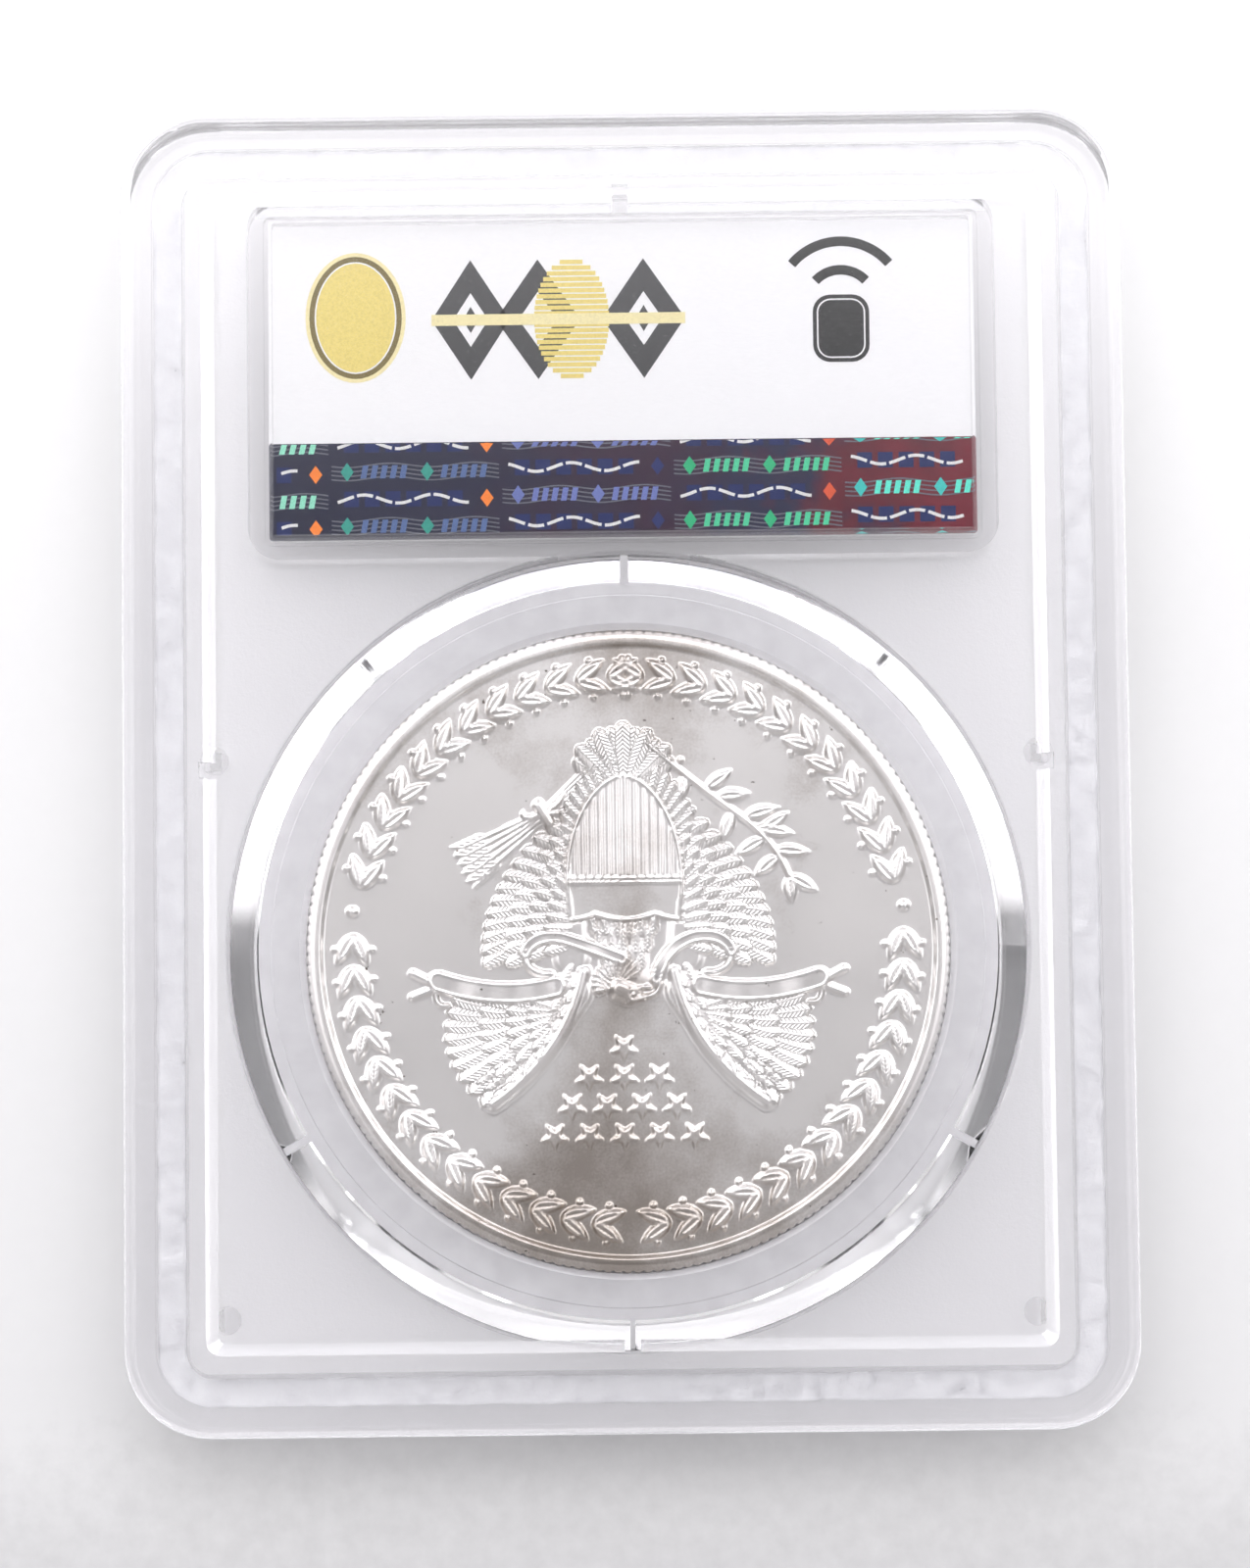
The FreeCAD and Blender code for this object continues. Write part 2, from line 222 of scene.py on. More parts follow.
def clear_styrene():
    """Clear moulded polystyrene: polished, with textured panels and a dull weld land."""
    material, graph = new_material("clear_styrene")
    where, x, y, z = graph.position()
    height = graph.math("ABSOLUTE", graph.math("SUBTRACT", z, SEAM_Z))
    over_inner = graph.math("ABSOLUTE", graph.math("SUBTRACT", height, PANEL_INNER))
    at_inner = graph.math("LESS_THAN", over_inner, 0.02 * MM)
    flat = graph.add("ShaderNodeCombineXYZ", {0: x, 1: y}).outputs[0]
    from_coin = graph.vector_math("DISTANCE", flat, (COIN_CENTRE.x, COIN_CENTRE.y, 0))
    beyond_ring = graph.math("GREATER_THAN", from_coin, RING_RADIUS)
    label_x = graph.math("GREATER_THAN", graph.math("ABSOLUTE", x), LABEL_EDGE_X)
    from_label = graph.math("ABSOLUTE", graph.math("SUBTRACT", y, LABEL_CENTRE.y))
    label_y = graph.math("GREATER_THAN", from_label, LABEL_EDGE_Y)
    beyond_label = graph.math("MAXIMUM", label_x, label_y)
    panel = graph.times(at_inner, graph.times(beyond_ring, beyond_label))
    land = graph.math("LESS_THAN", height, LAND_REACH)
    over_coin = graph.math("LESS_THAN", from_coin, WINDOW_RADIUS)
    over_label = graph.math("SUBTRACT", 1.0, beyond_label)
    window = graph.math("MAXIMUM", over_coin, over_label)
    texture = graph.noise(3400.0, 3.0, 0.7, where)
    fine = graph.noise(12000.0, 2.0, 0.7, where)
    grain = graph.total(graph.times(texture, panel), graph.times(fine, 0.03))
    surface = graph.solid(
        Base_Color=(*STYRENE_TINT, 1.0), IOR=STYRENE_IOR,
        Roughness=graph.total(graph.times(panel, PANEL_DULLNESS),
                              graph.times(land, LAND_DULLNESS), POLISH),
        Transmission_Weight=graph.span(window, 0.0, 1.0, FRAME_CLARITY, 1.0),
        Normal=graph.bump(grain, 0.02 * MM))
    finish_surface(graph, see_through(graph, surface, (0.86, 0.86, 0.865)))
    return material


def paint(node, material):
    """Gives a CAD node a material."""
    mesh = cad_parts[node].data
    mesh.materials.clear()
    mesh.materials.append(material)


# ---- struck relief -----------------------------------------------------------------
def smooth(value):
    """Smooth step from 0 to 1."""
    held = np.clip(value, 0.0, 1.0)
    return held * held * (3.0 - 2.0 * held)


def turn(u, v, degrees):
    """Coordinates seen from a frame turned by an angle."""
    c, s = math.cos(math.radians(degrees)), math.sin(math.radians(degrees))
    return c * u + s * v, c * v - s * u


def polar(radius, degrees, centre=(0.0, 0.0)):
    """Point at a distance and an angle from a centre."""
    angle = math.radians(degrees)
    return centre[0] + radius * math.cos(angle), centre[1] + radius * math.sin(angle)


def mirror(points, side):
    """Points of the right-hand side, or their mirror image where side is -1."""
    return [(side * u, v) for u, v in points]


def bezier(points, share):
    """Point of a quadratic curve at a share of its way."""
    a, b, c = (np.array(p, float) for p in points)
    return (1 - share) ** 2 * a + 2 * share * (1 - share) * b + share ** 2 * c


def polyline_distance(u, v, points):
    """Distance to a chain of straight runs, and how far along it the foot is."""
    best = np.full(u.shape, 1e9)
    along = np.zeros(u.shape)
    travelled = 0.0
    for (u0, v0), (u1, v1) in zip(points, points[1:]):
        du, dv = u1 - u0, v1 - v0
        length = math.hypot(du, dv)
        share = np.clip(((u - u0) * du + (v - v0) * dv) / length ** 2, 0.0, 1.0)
        gap = np.hypot(u - u0 - share * du, v - v0 - share * dv)
        closer = gap < best
        best = np.where(closer, gap, best)
        along = np.where(closer, travelled + share * length, along)
        travelled += length
    return best, along


def curve_points(points, count=10):
    """A chain of points along quadratic curves that share their ends."""
    chain = [tuple(points[0])]
    for start in range(0, len(points) - 2, 2):
        piece = points[start:start + 3]
        chain += [tuple(bezier(piece, (k + 1) / count)) for k in range(count)]
    return chain


FEATHER_BEVEL, LEAF_BEVEL, BAND_BEVEL, STAR_BEVEL = 0.2, 0.22, 0.18, 0.12
LEAF_BARB = 0.12                 # how deep a leaf's fine lines are, beside a feather's
STAR_WAIST = 0.44                # from a star's centre to its inner corners, beside its arms


class Relief:
    """Heights over a coin's field, in millimetres, built up from raised shapes.

    u runs to the right and v up in the design.  Beside the height it keeps, for the
    feathers' barbs, how far along and across its feather each point lies.
    """

    def __init__(self, u, v):
        self.u, self.v = u, v
        self.height = np.zeros(u.shape)
        self.along = np.zeros(u.shape)
        self.across = np.zeros(u.shape)
        self.barbed = np.zeros(u.shape)

    def near(self, centre, reach):
        """Indices of the points close to a place."""
        return np.nonzero(np.hypot(self.u - centre[0], self.v - centre[1]) < reach)[0]

    def lift(self, at, inside, height, bevel, base=0.0, barbs=None):
        """Raises what lies inside an outline; inside is the distance in from it."""
        raised = (base + height) * smooth(inside / bevel)
        wins = raised > self.height[at]
        self.height[at] = np.where(wins, raised, self.height[at])
        along, across, depth = barbs if barbs else (0.0, 0.0, 0.0)
        self.along[at] = np.where(wins, along, self.along[at])
        self.across[at] = np.where(wins, across, self.across[at])
        self.barbed[at] = np.where(wins, depth, self.barbed[at])

    def feather(self, root, tip, width, height=0.12, base=0.05, bend=0.0, barb=1.0):
        """Feather from root to tip: domed, and lying over the next one like a shingle."""
        du, dv = tip[0] - root[0], tip[1] - root[1]
        length = math.hypot(du, dv)
        centre = ((root[0] + tip[0]) / 2, (root[1] + tip[1]) / 2)
        at = self.near(centre, length / 2 + width)
        along, across = turn(self.u[at] - root[0], self.v[at] - root[1],
                             math.degrees(math.atan2(dv, du)))
        share = along / length
        across = across - bend * 4 * share * (1 - share)
        round_from = 1 - 0.8 * width / length
        tip_share = np.clip((share - round_from) / (1 - round_from), 0, 1)
        half = width / 2 * np.where(
            share < round_from, 0.62 + 0.38 * smooth(share / max(round_from, 0.05)),
            np.sqrt(np.maximum(1 - tip_share ** 2, 0)))
        inside = np.where((share > 0) & (share < 1), half - np.abs(across), -1.0)
        dome = 1 - 0.35 * (across / np.maximum(half, 1e-3)) ** 2
        raised = height * dome * (0.25 + 0.75 * np.clip(share, 0, 1) ** 2)
        self.lift(at, inside, raised, FEATHER_BEVEL, base, (along, across, barb))

    def leaf(self, root, angle, length, width, height):
        """Pointed leaf with a groove along its middle."""
        tip = polar(length, angle, root)
        centre = ((root[0] + tip[0]) / 2, (root[1] + tip[1]) / 2)
        at = self.near(centre, length / 2 + width)
        along, across = turn(self.u[at] - root[0], self.v[at] - root[1], angle)
        share = np.clip(along / length, 0, 1)
        half = width / 2 * np.sin(math.pi * share ** 0.8) ** 0.8
        inside = np.where((along > 0) & (along < length), half - np.abs(across), -1.0)
        vein = 0.05 * smooth(1 - np.abs(across) / 0.12)
        self.lift(at, inside, height - vein, LEAF_BEVEL,
                  barbs=(along, across, LEAF_BARB))

    def rod(self, points, width, height, bevel=0.18):
        """Round-edged bar along a chain of points."""
        distance = polyline_distance(self.u, self.v, points)[0]
        at = np.nonzero(distance < width)[0]
        self.lift(at, width / 2 - distance[at], height, bevel)

    def dot(self, centre, width, height, bevel=0.25):
        """Round knob."""
        at = self.near(centre, width)
        gap = np.hypot(self.u[at] - centre[0], self.v[at] - centre[1])
        self.lift(at, width / 2 - gap, height, bevel)

    def band(self, points, width, height):
        """Flat ribbon along a chain of points, with a raised edge on both sides."""
        distance, along = polyline_distance(self.u, self.v, points)
        at = np.nonzero(distance < width)[0]
        inside = width / 2 - distance[at]
        edge = 0.05 * smooth(1 - np.abs(inside - 0.16) / 0.12)
        wave = 0.03 * np.sin(along[at] * 1.7)
        self.lift(at, inside, height + edge + wave, BAND_BEVEL)

    def star(self, centre, radius, height):
        """Five-pointed star with sloping edges."""
        at = self.near(centre, radius)
        du, dv = self.u[at] - centre[0], self.v[at] - centre[1]
        angle = np.arctan2(du, dv)
        distance = np.hypot(du, dv)
        step = 2 * math.pi / 5
        folded = np.abs((angle + step / 2) % step - step / 2)
        inner = STAR_WAIST * radius
        corner = np.array([inner * math.cos(step / 2), inner * math.sin(step / 2)])
        arm = np.array([radius, 0.0])
        normal = np.array([arm[1] - corner[1], corner[0] - arm[0]])
        normal = -normal / np.linalg.norm(normal)
        inside = -(((distance * np.cos(folded) - arm[0]) * normal[0])
                   + ((distance * np.sin(folded) - arm[1]) * normal[1]))
        inside = inside if inside[np.argmin(distance)] > 0 else -inside
        self.lift(at, inside, height, STAR_BEVEL)

    # groups of shapes ------------------------------------------------------------
    def feather_row(self, tips, angles, length, width, count, height, base, bend=0.0,
                    barb=1.0, side=1):
        """Overlapping feathers whose tips follow a curve; side -1 mirrors the row."""
        for index in range(count):
            share = index / (count - 1)
            tip = bezier(tips, share)
            reach = length[0] + (length[1] - length[0]) * share
            root = polar(-reach, angles[0] + (angles[1] - angles[0]) * share, tip)
            self.feather(*mirror([root, tip], side),
                         width[0] + (width[1] - width[0]) * share,
                         height, base + 0.0015 * index, side * bend, barb)


DEVICE_AXIS = 0.2                # the shield and tail stand a little off the centre line


WING_ROWS = (
    # curve of the tips, angles, lengths, widths, count, height, base, bend, barbs
    ([(9.2, 0.9), (9.7, -3.9), (4.3, -8.9)], (22, -44), (4.2, 3.0), (1.2, 1.0), 13,
     0.17, 0.02, -0.25, 1.0),
    ([(7.8, 0.9), (8.3, -3.6), (4.2, -8.0)], (20, -46), (2.4, 2.0), (1.15, 0.95), 11,
     0.17, 0.05, -0.15, 0.8),
    ([(6.6, 0.5), (6.9, -3.3), (4.0, -7.2)], (18, -50), (2.1, 1.8), (1.05, 0.9), 10,
     0.17, 0.08, -0.1, 0.7),
    ([(5.4, 0.1), (5.6, -3.0), (3.8, -6.4)], (14, -54), (1.8, 1.6), (0.95, 0.85), 9,
     0.16, 0.11, 0.0, 0.6),
    ([(11.2, 2.9), (12.7, 6.6), (9.3, 9.8)], (-8, 58), (5.4, 4.4), (1.2, 1.3), 9,
     0.17, 0.03, 0.3, 1.0),
    ([(9.3, 2.8), (10.2, 5.8), (7.9, 8.8)], (-12, 60), (2.8, 2.5), (1.15, 1.15), 8,
     0.17, 0.07, 0.2, 0.8),
    ([(7.6, 2.9), (8.4, 5.2), (6.7, 7.9)], (-16, 62), (2.2, 2.0), (1.0, 1.0), 7,
     0.16, 0.11, 0.1, 0.6),
    ([(6.3, 3.1), (6.9, 4.9), (5.8, 7.0)], (-18, 64), (1.8, 1.7), (0.85, 0.85), 7,
     0.15, 0.15, 0.0, 0.5))


def strike_wing(relief, side):
    """One raised wing: long feathers above, shorter ones down beside the shield."""
    for row in WING_ROWS:
        relief.feather_row(*row, side=side)
    relief.rod(mirror([(3.6, 2.6), (5.2, 5.0), (7.6, 7.9)], side), 2.9, 0.13, bevel=0.4)
    lead = curve_points(mirror([(2.9, 1.4), (3.5, 4.4), (5.4, 6.7), (6.8, 8.4),
                                (8.6, 9.6)], side), 12)
    relief.rod(lead, 1.35, 0.26, bevel=0.6)
    for index in range(11):
        place, ahead = lead[2 * index], lead[2 * index + 2]
        for inward in (0.15, 0.85, 1.5):
            if inward < 1.5 or index > 2:
                root = (place[0] + side * inward * 0.8, place[1] - inward * 0.6)
                tip = (root[0] + 1.25 * (ahead[0] - place[0]) + side * 0.35,
                       root[1] + 1.25 * (ahead[1] - place[1]) - 0.05)
                relief.feather(root, tip, 0.72, 0.10, 0.17 - 0.03 * inward, barb=0.4)


def strike_shield(relief):
    """Shield with a plain upper band over upright stripes."""
    u, v = relief.u - DEVICE_AXIS, relief.v
    top, bar, point, half_width = -1.7, -4.4, -11.1, 3.8
    drop = np.clip((bar - v) / (bar - point), 0, 1)
    half = half_width * np.sqrt(np.maximum(1 - drop ** 1.9, 0)) * (1 - 0.05 * smooth(
        (v - bar) / (top - bar)))
    level = top - 0.35 * (1 - np.abs(np.cos(u / half_width * math.pi))) * (np.abs(u) < 4)
    slope = np.where(v < bar, np.clip(1.4 - 0.9 * drop, 0.4, 1), 1.0)
    inside = np.minimum((half - np.abs(u)) * slope, level - v)
    at = np.nonzero(inside > 0)[0]
    depth = inside[at]
    border = 0.14 * smooth(1 - np.abs(depth - 0.17) / 0.15)
    stripe = np.abs((u[at] / 0.54) % 1.0 - 0.5) * 0.54
    stripes = 0.09 * smooth(1 - stripe / 0.13) * (v[at] < bar - 0.25) * (depth > 0.3)
    lines = 0.0
    for offset in (0.13, -0.13):
        lines = lines + 0.09 * smooth(1 - np.abs(v[at] - bar - offset) / 0.09)
    relief.height[at] = 0.24 * smooth(depth / 0.14) + border + stripes + lines
    relief.barbed[at] = 0.0


def strike_tail(relief):
    """Fan of tail feathers under the shield."""
    centre = (DEVICE_AXIS, -10.1)
    for offset in (5, 3, 1, 4, 2, 0):
        for side in ((-1, 1) if offset else (1,)):
            angle = -90 + side * offset * 11.5
            reach = 4.4 - 0.08 * offset - 0.25 * (offset % 2)
            relief.feather(polar(0.8, angle, centre), polar(reach, angle, centre),
                           1.3, 0.17, 0.03 + 0.05 * (offset % 2 == 0))
    for side in (-1, 1):
        relief.feather_row([(2.0, -11.6), (3.6, -10.6), (4.2, -8.7)], (-75, -40),
                           (2.6, 2.2), (0.8, 0.8), 6, 0.12, 0.12, side=side)


def strike_body(relief):
    """Breast and thighs behind the shield, covered with small feathers."""
    relief.rod([(0.3, 1.6), (0.3, -2.0)], 3.4, 0.17, bevel=0.9)
    for side in (-1, 1):
        relief.rod(mirror([(3.6, 0.4), (4.0, -5.4)], side), 2.6, 0.13, bevel=0.5)
    for row in range(8):
        count = 3 + row // 2
        for index in range(count):
            across = 0.3 + (index - (count - 1) / 2) * 0.74
            down = 1.7 - 0.5 * row - 0.12 * abs(across)
            relief.feather((across, down + 0.55), (across * 1.08, down - 0.4), 0.72, 0.12,
                           0.12 + 0.012 * row, barb=0.6)


def strike_head(relief):
    """Head and beak of the bird, in profile, with a ruff behind."""
    for index in range(12):
        angle = 20 - 15 * index
        tip = (polar(1.75, angle)[0] + 0.6, polar(1.5, angle)[1] + 2.1)
        relief.feather(polar(0.5, angle, (0.75, 2.3)), tip, 0.55, 0.13, 0.17, barb=0.5)
    relief.rod([(-0.1, 2.75), (0.6, 2.45)], 1.9, 0.38, bevel=0.75)
    relief.rod(curve_points([(-0.6, 2.95), (-1.9, 3.15), (-2.0, 2.05)]), 0.46, 0.34,
               bevel=0.23)
    relief.rod([(-0.6, 2.4), (-1.4, 2.35)], 0.34, 0.27, bevel=0.16)
    relief.rod([(-1.0, 3.12), (0.1, 3.3)], 0.24, 0.43, bevel=0.12)
    at = relief.near((-0.3, 2.85), 0.3)
    gap = np.hypot(relief.u[at] + 0.3, relief.v[at] - 2.85)
    relief.height[at] -= 0.12 * smooth(1 - np.abs(gap - 0.2) / 0.1)


def strike_ribbon(relief):
    """Plain ribbon that runs from the beak over both wings."""
    for side in (-1, 1):
        start = (-1.75, 1.9) if side < 0 else (0.4, 0.6)
        lower = [start] + mirror([(2.3, -0.2), (4.1, -0.75), (5.9, -1.1), (6.5, 0.1)], side)
        curl = mirror([(6.5, 0.1), (6.6, 1.5), (4.9, 1.5)], side)
        upper = mirror([(4.6, 2.3), (8.2, 3.2), (12.0, 1.9)], side)
        for points, width, height in ((lower, 0.95, 0.30), (curl, 0.55, 0.24),
                                      (upper, 1.45, 0.33)):
            relief.band(curve_points(points), width, height)
        for rise in (0.75, -0.75):
            relief.rod(mirror([(11.9, 2.2), (13.6, 2.1 + rise)], side), 0.6, 0.2)
        end = mirror([(11.9, 1.4), (12.6, 3.6), (11.4, 3.4)], side)
        relief.rod(curve_points(end), 0.4, 0.26)


def strike_branch(relief):
    """Leafy branch held on the left."""
    stem = curve_points([(-1.2, -13.2), (-4.4, -10.4), (-7.3, -8.3), (-9.3, -6.8),
                         (-10.2, -4.6)])
    relief.rod(stem, 0.42, 0.24)
    for spot, angle, length in ((20, 95, 1.9), (20, 150, 2.1), (17, 40, 2.0), (16, 175, 2.3),
                                (14, 30, 2.2), (12, 170, 2.6), (10, 195, 2.5), (9, 70, 2.2),
                                (7, 185, 2.4), (6, 215, 2.2), (4, 80, 1.8), (13, 215, 2.3)):
        relief.leaf(stem[spot], angle, length, 0.95, 0.17)
    for spot in (3, 6, 8):
        place = (stem[spot][0] - 0.35, stem[spot][1] - 0.4)
        relief.dot(place, 0.5, 0.22)


def strike_sheaf(relief):
    """Bound sheaf of grain ears held on the right."""
    for index in range(5):
        spread = (index - 2) / 2
        root = (0.9 + 0.3 * spread, -12.4 - 0.5 * spread)
        waist = (5.2 + 0.15 * spread, -8.6 - 0.25 * spread)
        tip = (9.9 + 0.5 * spread, -5.6 - 1.0 * spread)
        relief.rod([root, waist, tip], 0.26, 0.20 + 0.02 * (index % 2))
        direction = math.degrees(math.atan2(tip[1] - waist[1], tip[0] - waist[0]))
        for grain in range(5):
            base = polar(-0.42 * grain, direction, tip)
            for lean in (28, -28):
                relief.leaf(base, direction + lean, 0.85, 0.34, 0.2)
    relief.rod([(4.9, -8.1), (5.6, -9.2)], 0.85, 0.3, bevel=0.25)
    for end in ((3.6, -9.1), (4.0, -9.9), (6.6, -8.7)):
        relief.rod(curve_points([(5.2, -8.7), (end[0], end[1] + 0.5), end]), 0.34, 0.27)


def strike_stars(relief):
    """Rows of stars over the bird."""
    for row, count in enumerate((5, 4, 3, 1)):
        for index in range(count):
            centre = (0.35 + 2.2 * (index - (count - 1) / 2), 11.75 - 1.85 * row)
            relief.star(centre, 1.04, 0.21)


BORDER_RADIUS = 17.35
LEAF_PITCH = 6.6                 # degrees from one pair of the border's leaves to the next


def strike_border(relief, gap=(-8.5, 188.5)):
    """Ring of paired leaves and berries, with a knob at each of its two gaps."""
    for start, end in ((gap[0] + 4.5, 83.5), (gap[1] - 4.5, 96.5), (gap[0] - 5, -87.5),
                       (gap[1] + 5, 267.5)):
        way = 1 if end > start else -1
        for angle in np.arange(start, end, way * LEAF_PITCH):
            for lean in (26, -26):
                relief.leaf(polar(BORDER_RADIUS, angle), angle + 90 * way + lean,
                            2.3, 1.02, 0.26)
            for shift in (1.15, -1.15):
                place = polar(BORDER_RADIUS + shift, angle + way * LEAF_PITCH / 2)
                relief.dot(place, 0.5, 0.22)
    for angle in gap:
        relief.dot(polar(17.6, angle), 0.8, 0.26)


def strike_reverse(relief):
    """The side that shows: heraldic bird, shield, ribbon, branch, sheaf and stars."""
    for side in (-1, 1):
        strike_wing(relief, side)
    strike_tail(relief)
    strike_branch(relief)
    strike_sheaf(relief)
    strike_body(relief)
    strike_shield(relief)
    strike_ribbon(relief)
    strike_head(relief)
    strike_stars(relief)
    strike_border(relief)


def strike_obverse(relief):
    """The hidden side: a rising sun within a wreath."""
    for index in range(36):
        far = 11.8 if index % 2 else 9.6
        relief.rod([polar(5.4, 10 * index), polar(far, 10 * index)], 0.5, 0.16)
    relief.dot((0.0, 0.0), 9.2, 0.3, bevel=3.0)
    strike_border(relief, gap=(-90.0, 270.0))


# ---- coin --------------------------------------------------------------------------
COIN_LOW, COIN_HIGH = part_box("coin")
EDGE_CHAMFER = 0.15 * MM
RIM_WIDTH = 0.70 * MM
RIM_SLOPE = 0.20 * MM            # width of the rim's inner slope
RIM_ROUND = 0.40 * MM            # width of its rounded outer part
RIM_DROP = 0.12 * MM             # and how far that falls
FIELD_DEPTH = 0.40 * MM
FIELD_DISH = 0.04 * MM
RELIEF_GAIN = 1.25               # strengthens the whole design
REVERSE_CELLS = 400              # cells along each side of the reverse face's grid
POINTS_PER_REED = 8              # round the edge, so that it has 200 reeds
GROOVE_POINTS = 3                # of them in the groove
REED_DEPTH = 0.1 * MM
BARB_PITCH = 0.27                # between a feather's barbs, in millimetres
OBVERSE_INSET = 0.1 * MM         # the hidden face stops this far inside the other one
BARB_SLANT = 0.9                 # how far the barbs lean back from the quill
FLOW_STRETCH = 0.06              # the flow lines' length along the radius, as a noise scale
BARB_RIDGE, GRAIN_RISE, FLOW_RISE = 0.45, 0.02, 0.03   # beside the quill's height
PAINTED_SHADE_RUN = (-0.030, -0.006, -0.33, 0.09)   # Y from and to, and the painted shade they add there: the coin darker towards -Y


def disc_points(cells):
    """Grid of points that fills a disc of radius 1: a square bent to a circle."""
    line = np.linspace(-1, 1, cells + 1)
    a, b = np.meshgrid(line, line, indexing="ij")
    wide = np.abs(a) >= np.abs(b)
    radius = np.where(wide, a, b)
    safe = np.where(radius == 0, 1.0, radius)
    angle = np.where(wide, math.pi / 4 * b / safe, math.pi / 2 - math.pi / 4 * a / safe)
    return (radius * np.cos(angle)).ravel(), (radius * np.sin(angle)).ravel()


def disc_cells(cells):
    """Corner indices of the grid's cells, anticlockwise, and of its outline."""
    side = cells + 1
    i, j = (g.ravel() for g in np.meshgrid(range(cells), range(cells), indexing="ij"))
    first = i * side + j
    quads = np.stack([first, first + side, first + side + 1, first + 1], 1)
    steps = np.arange(cells)
    outline = np.concatenate([
        cells * side + steps, (cells - steps) * side + cells,
        cells - steps, steps * side])
    return quads, outline


def face_height(x, y, strike, turned_over):
    """Height of one face over its field's plane, and the strike's relief."""
    flip = -1.0 if turned_over else 1.0
    relief = Relief(-x / MM * flip, -y / MM)
    strike(relief)
    radius = np.hypot(x, y)
    field = FIELD_DISH * (radius / COIN_RADIUS) ** 2 + RELIEF_GAIN * relief.height * MM
    inward = COIN_RADIUS - EDGE_CHAMFER - radius
    rim = smooth((RIM_WIDTH + RIM_SLOPE - inward) / RIM_SLOPE)
    rounding = RIM_DROP * np.clip(1 - inward / RIM_ROUND, 0, 1) ** 2
    height = field * (1 - rim) + (FIELD_DEPTH - rounding) * rim
    return height - FIELD_DEPTH, relief


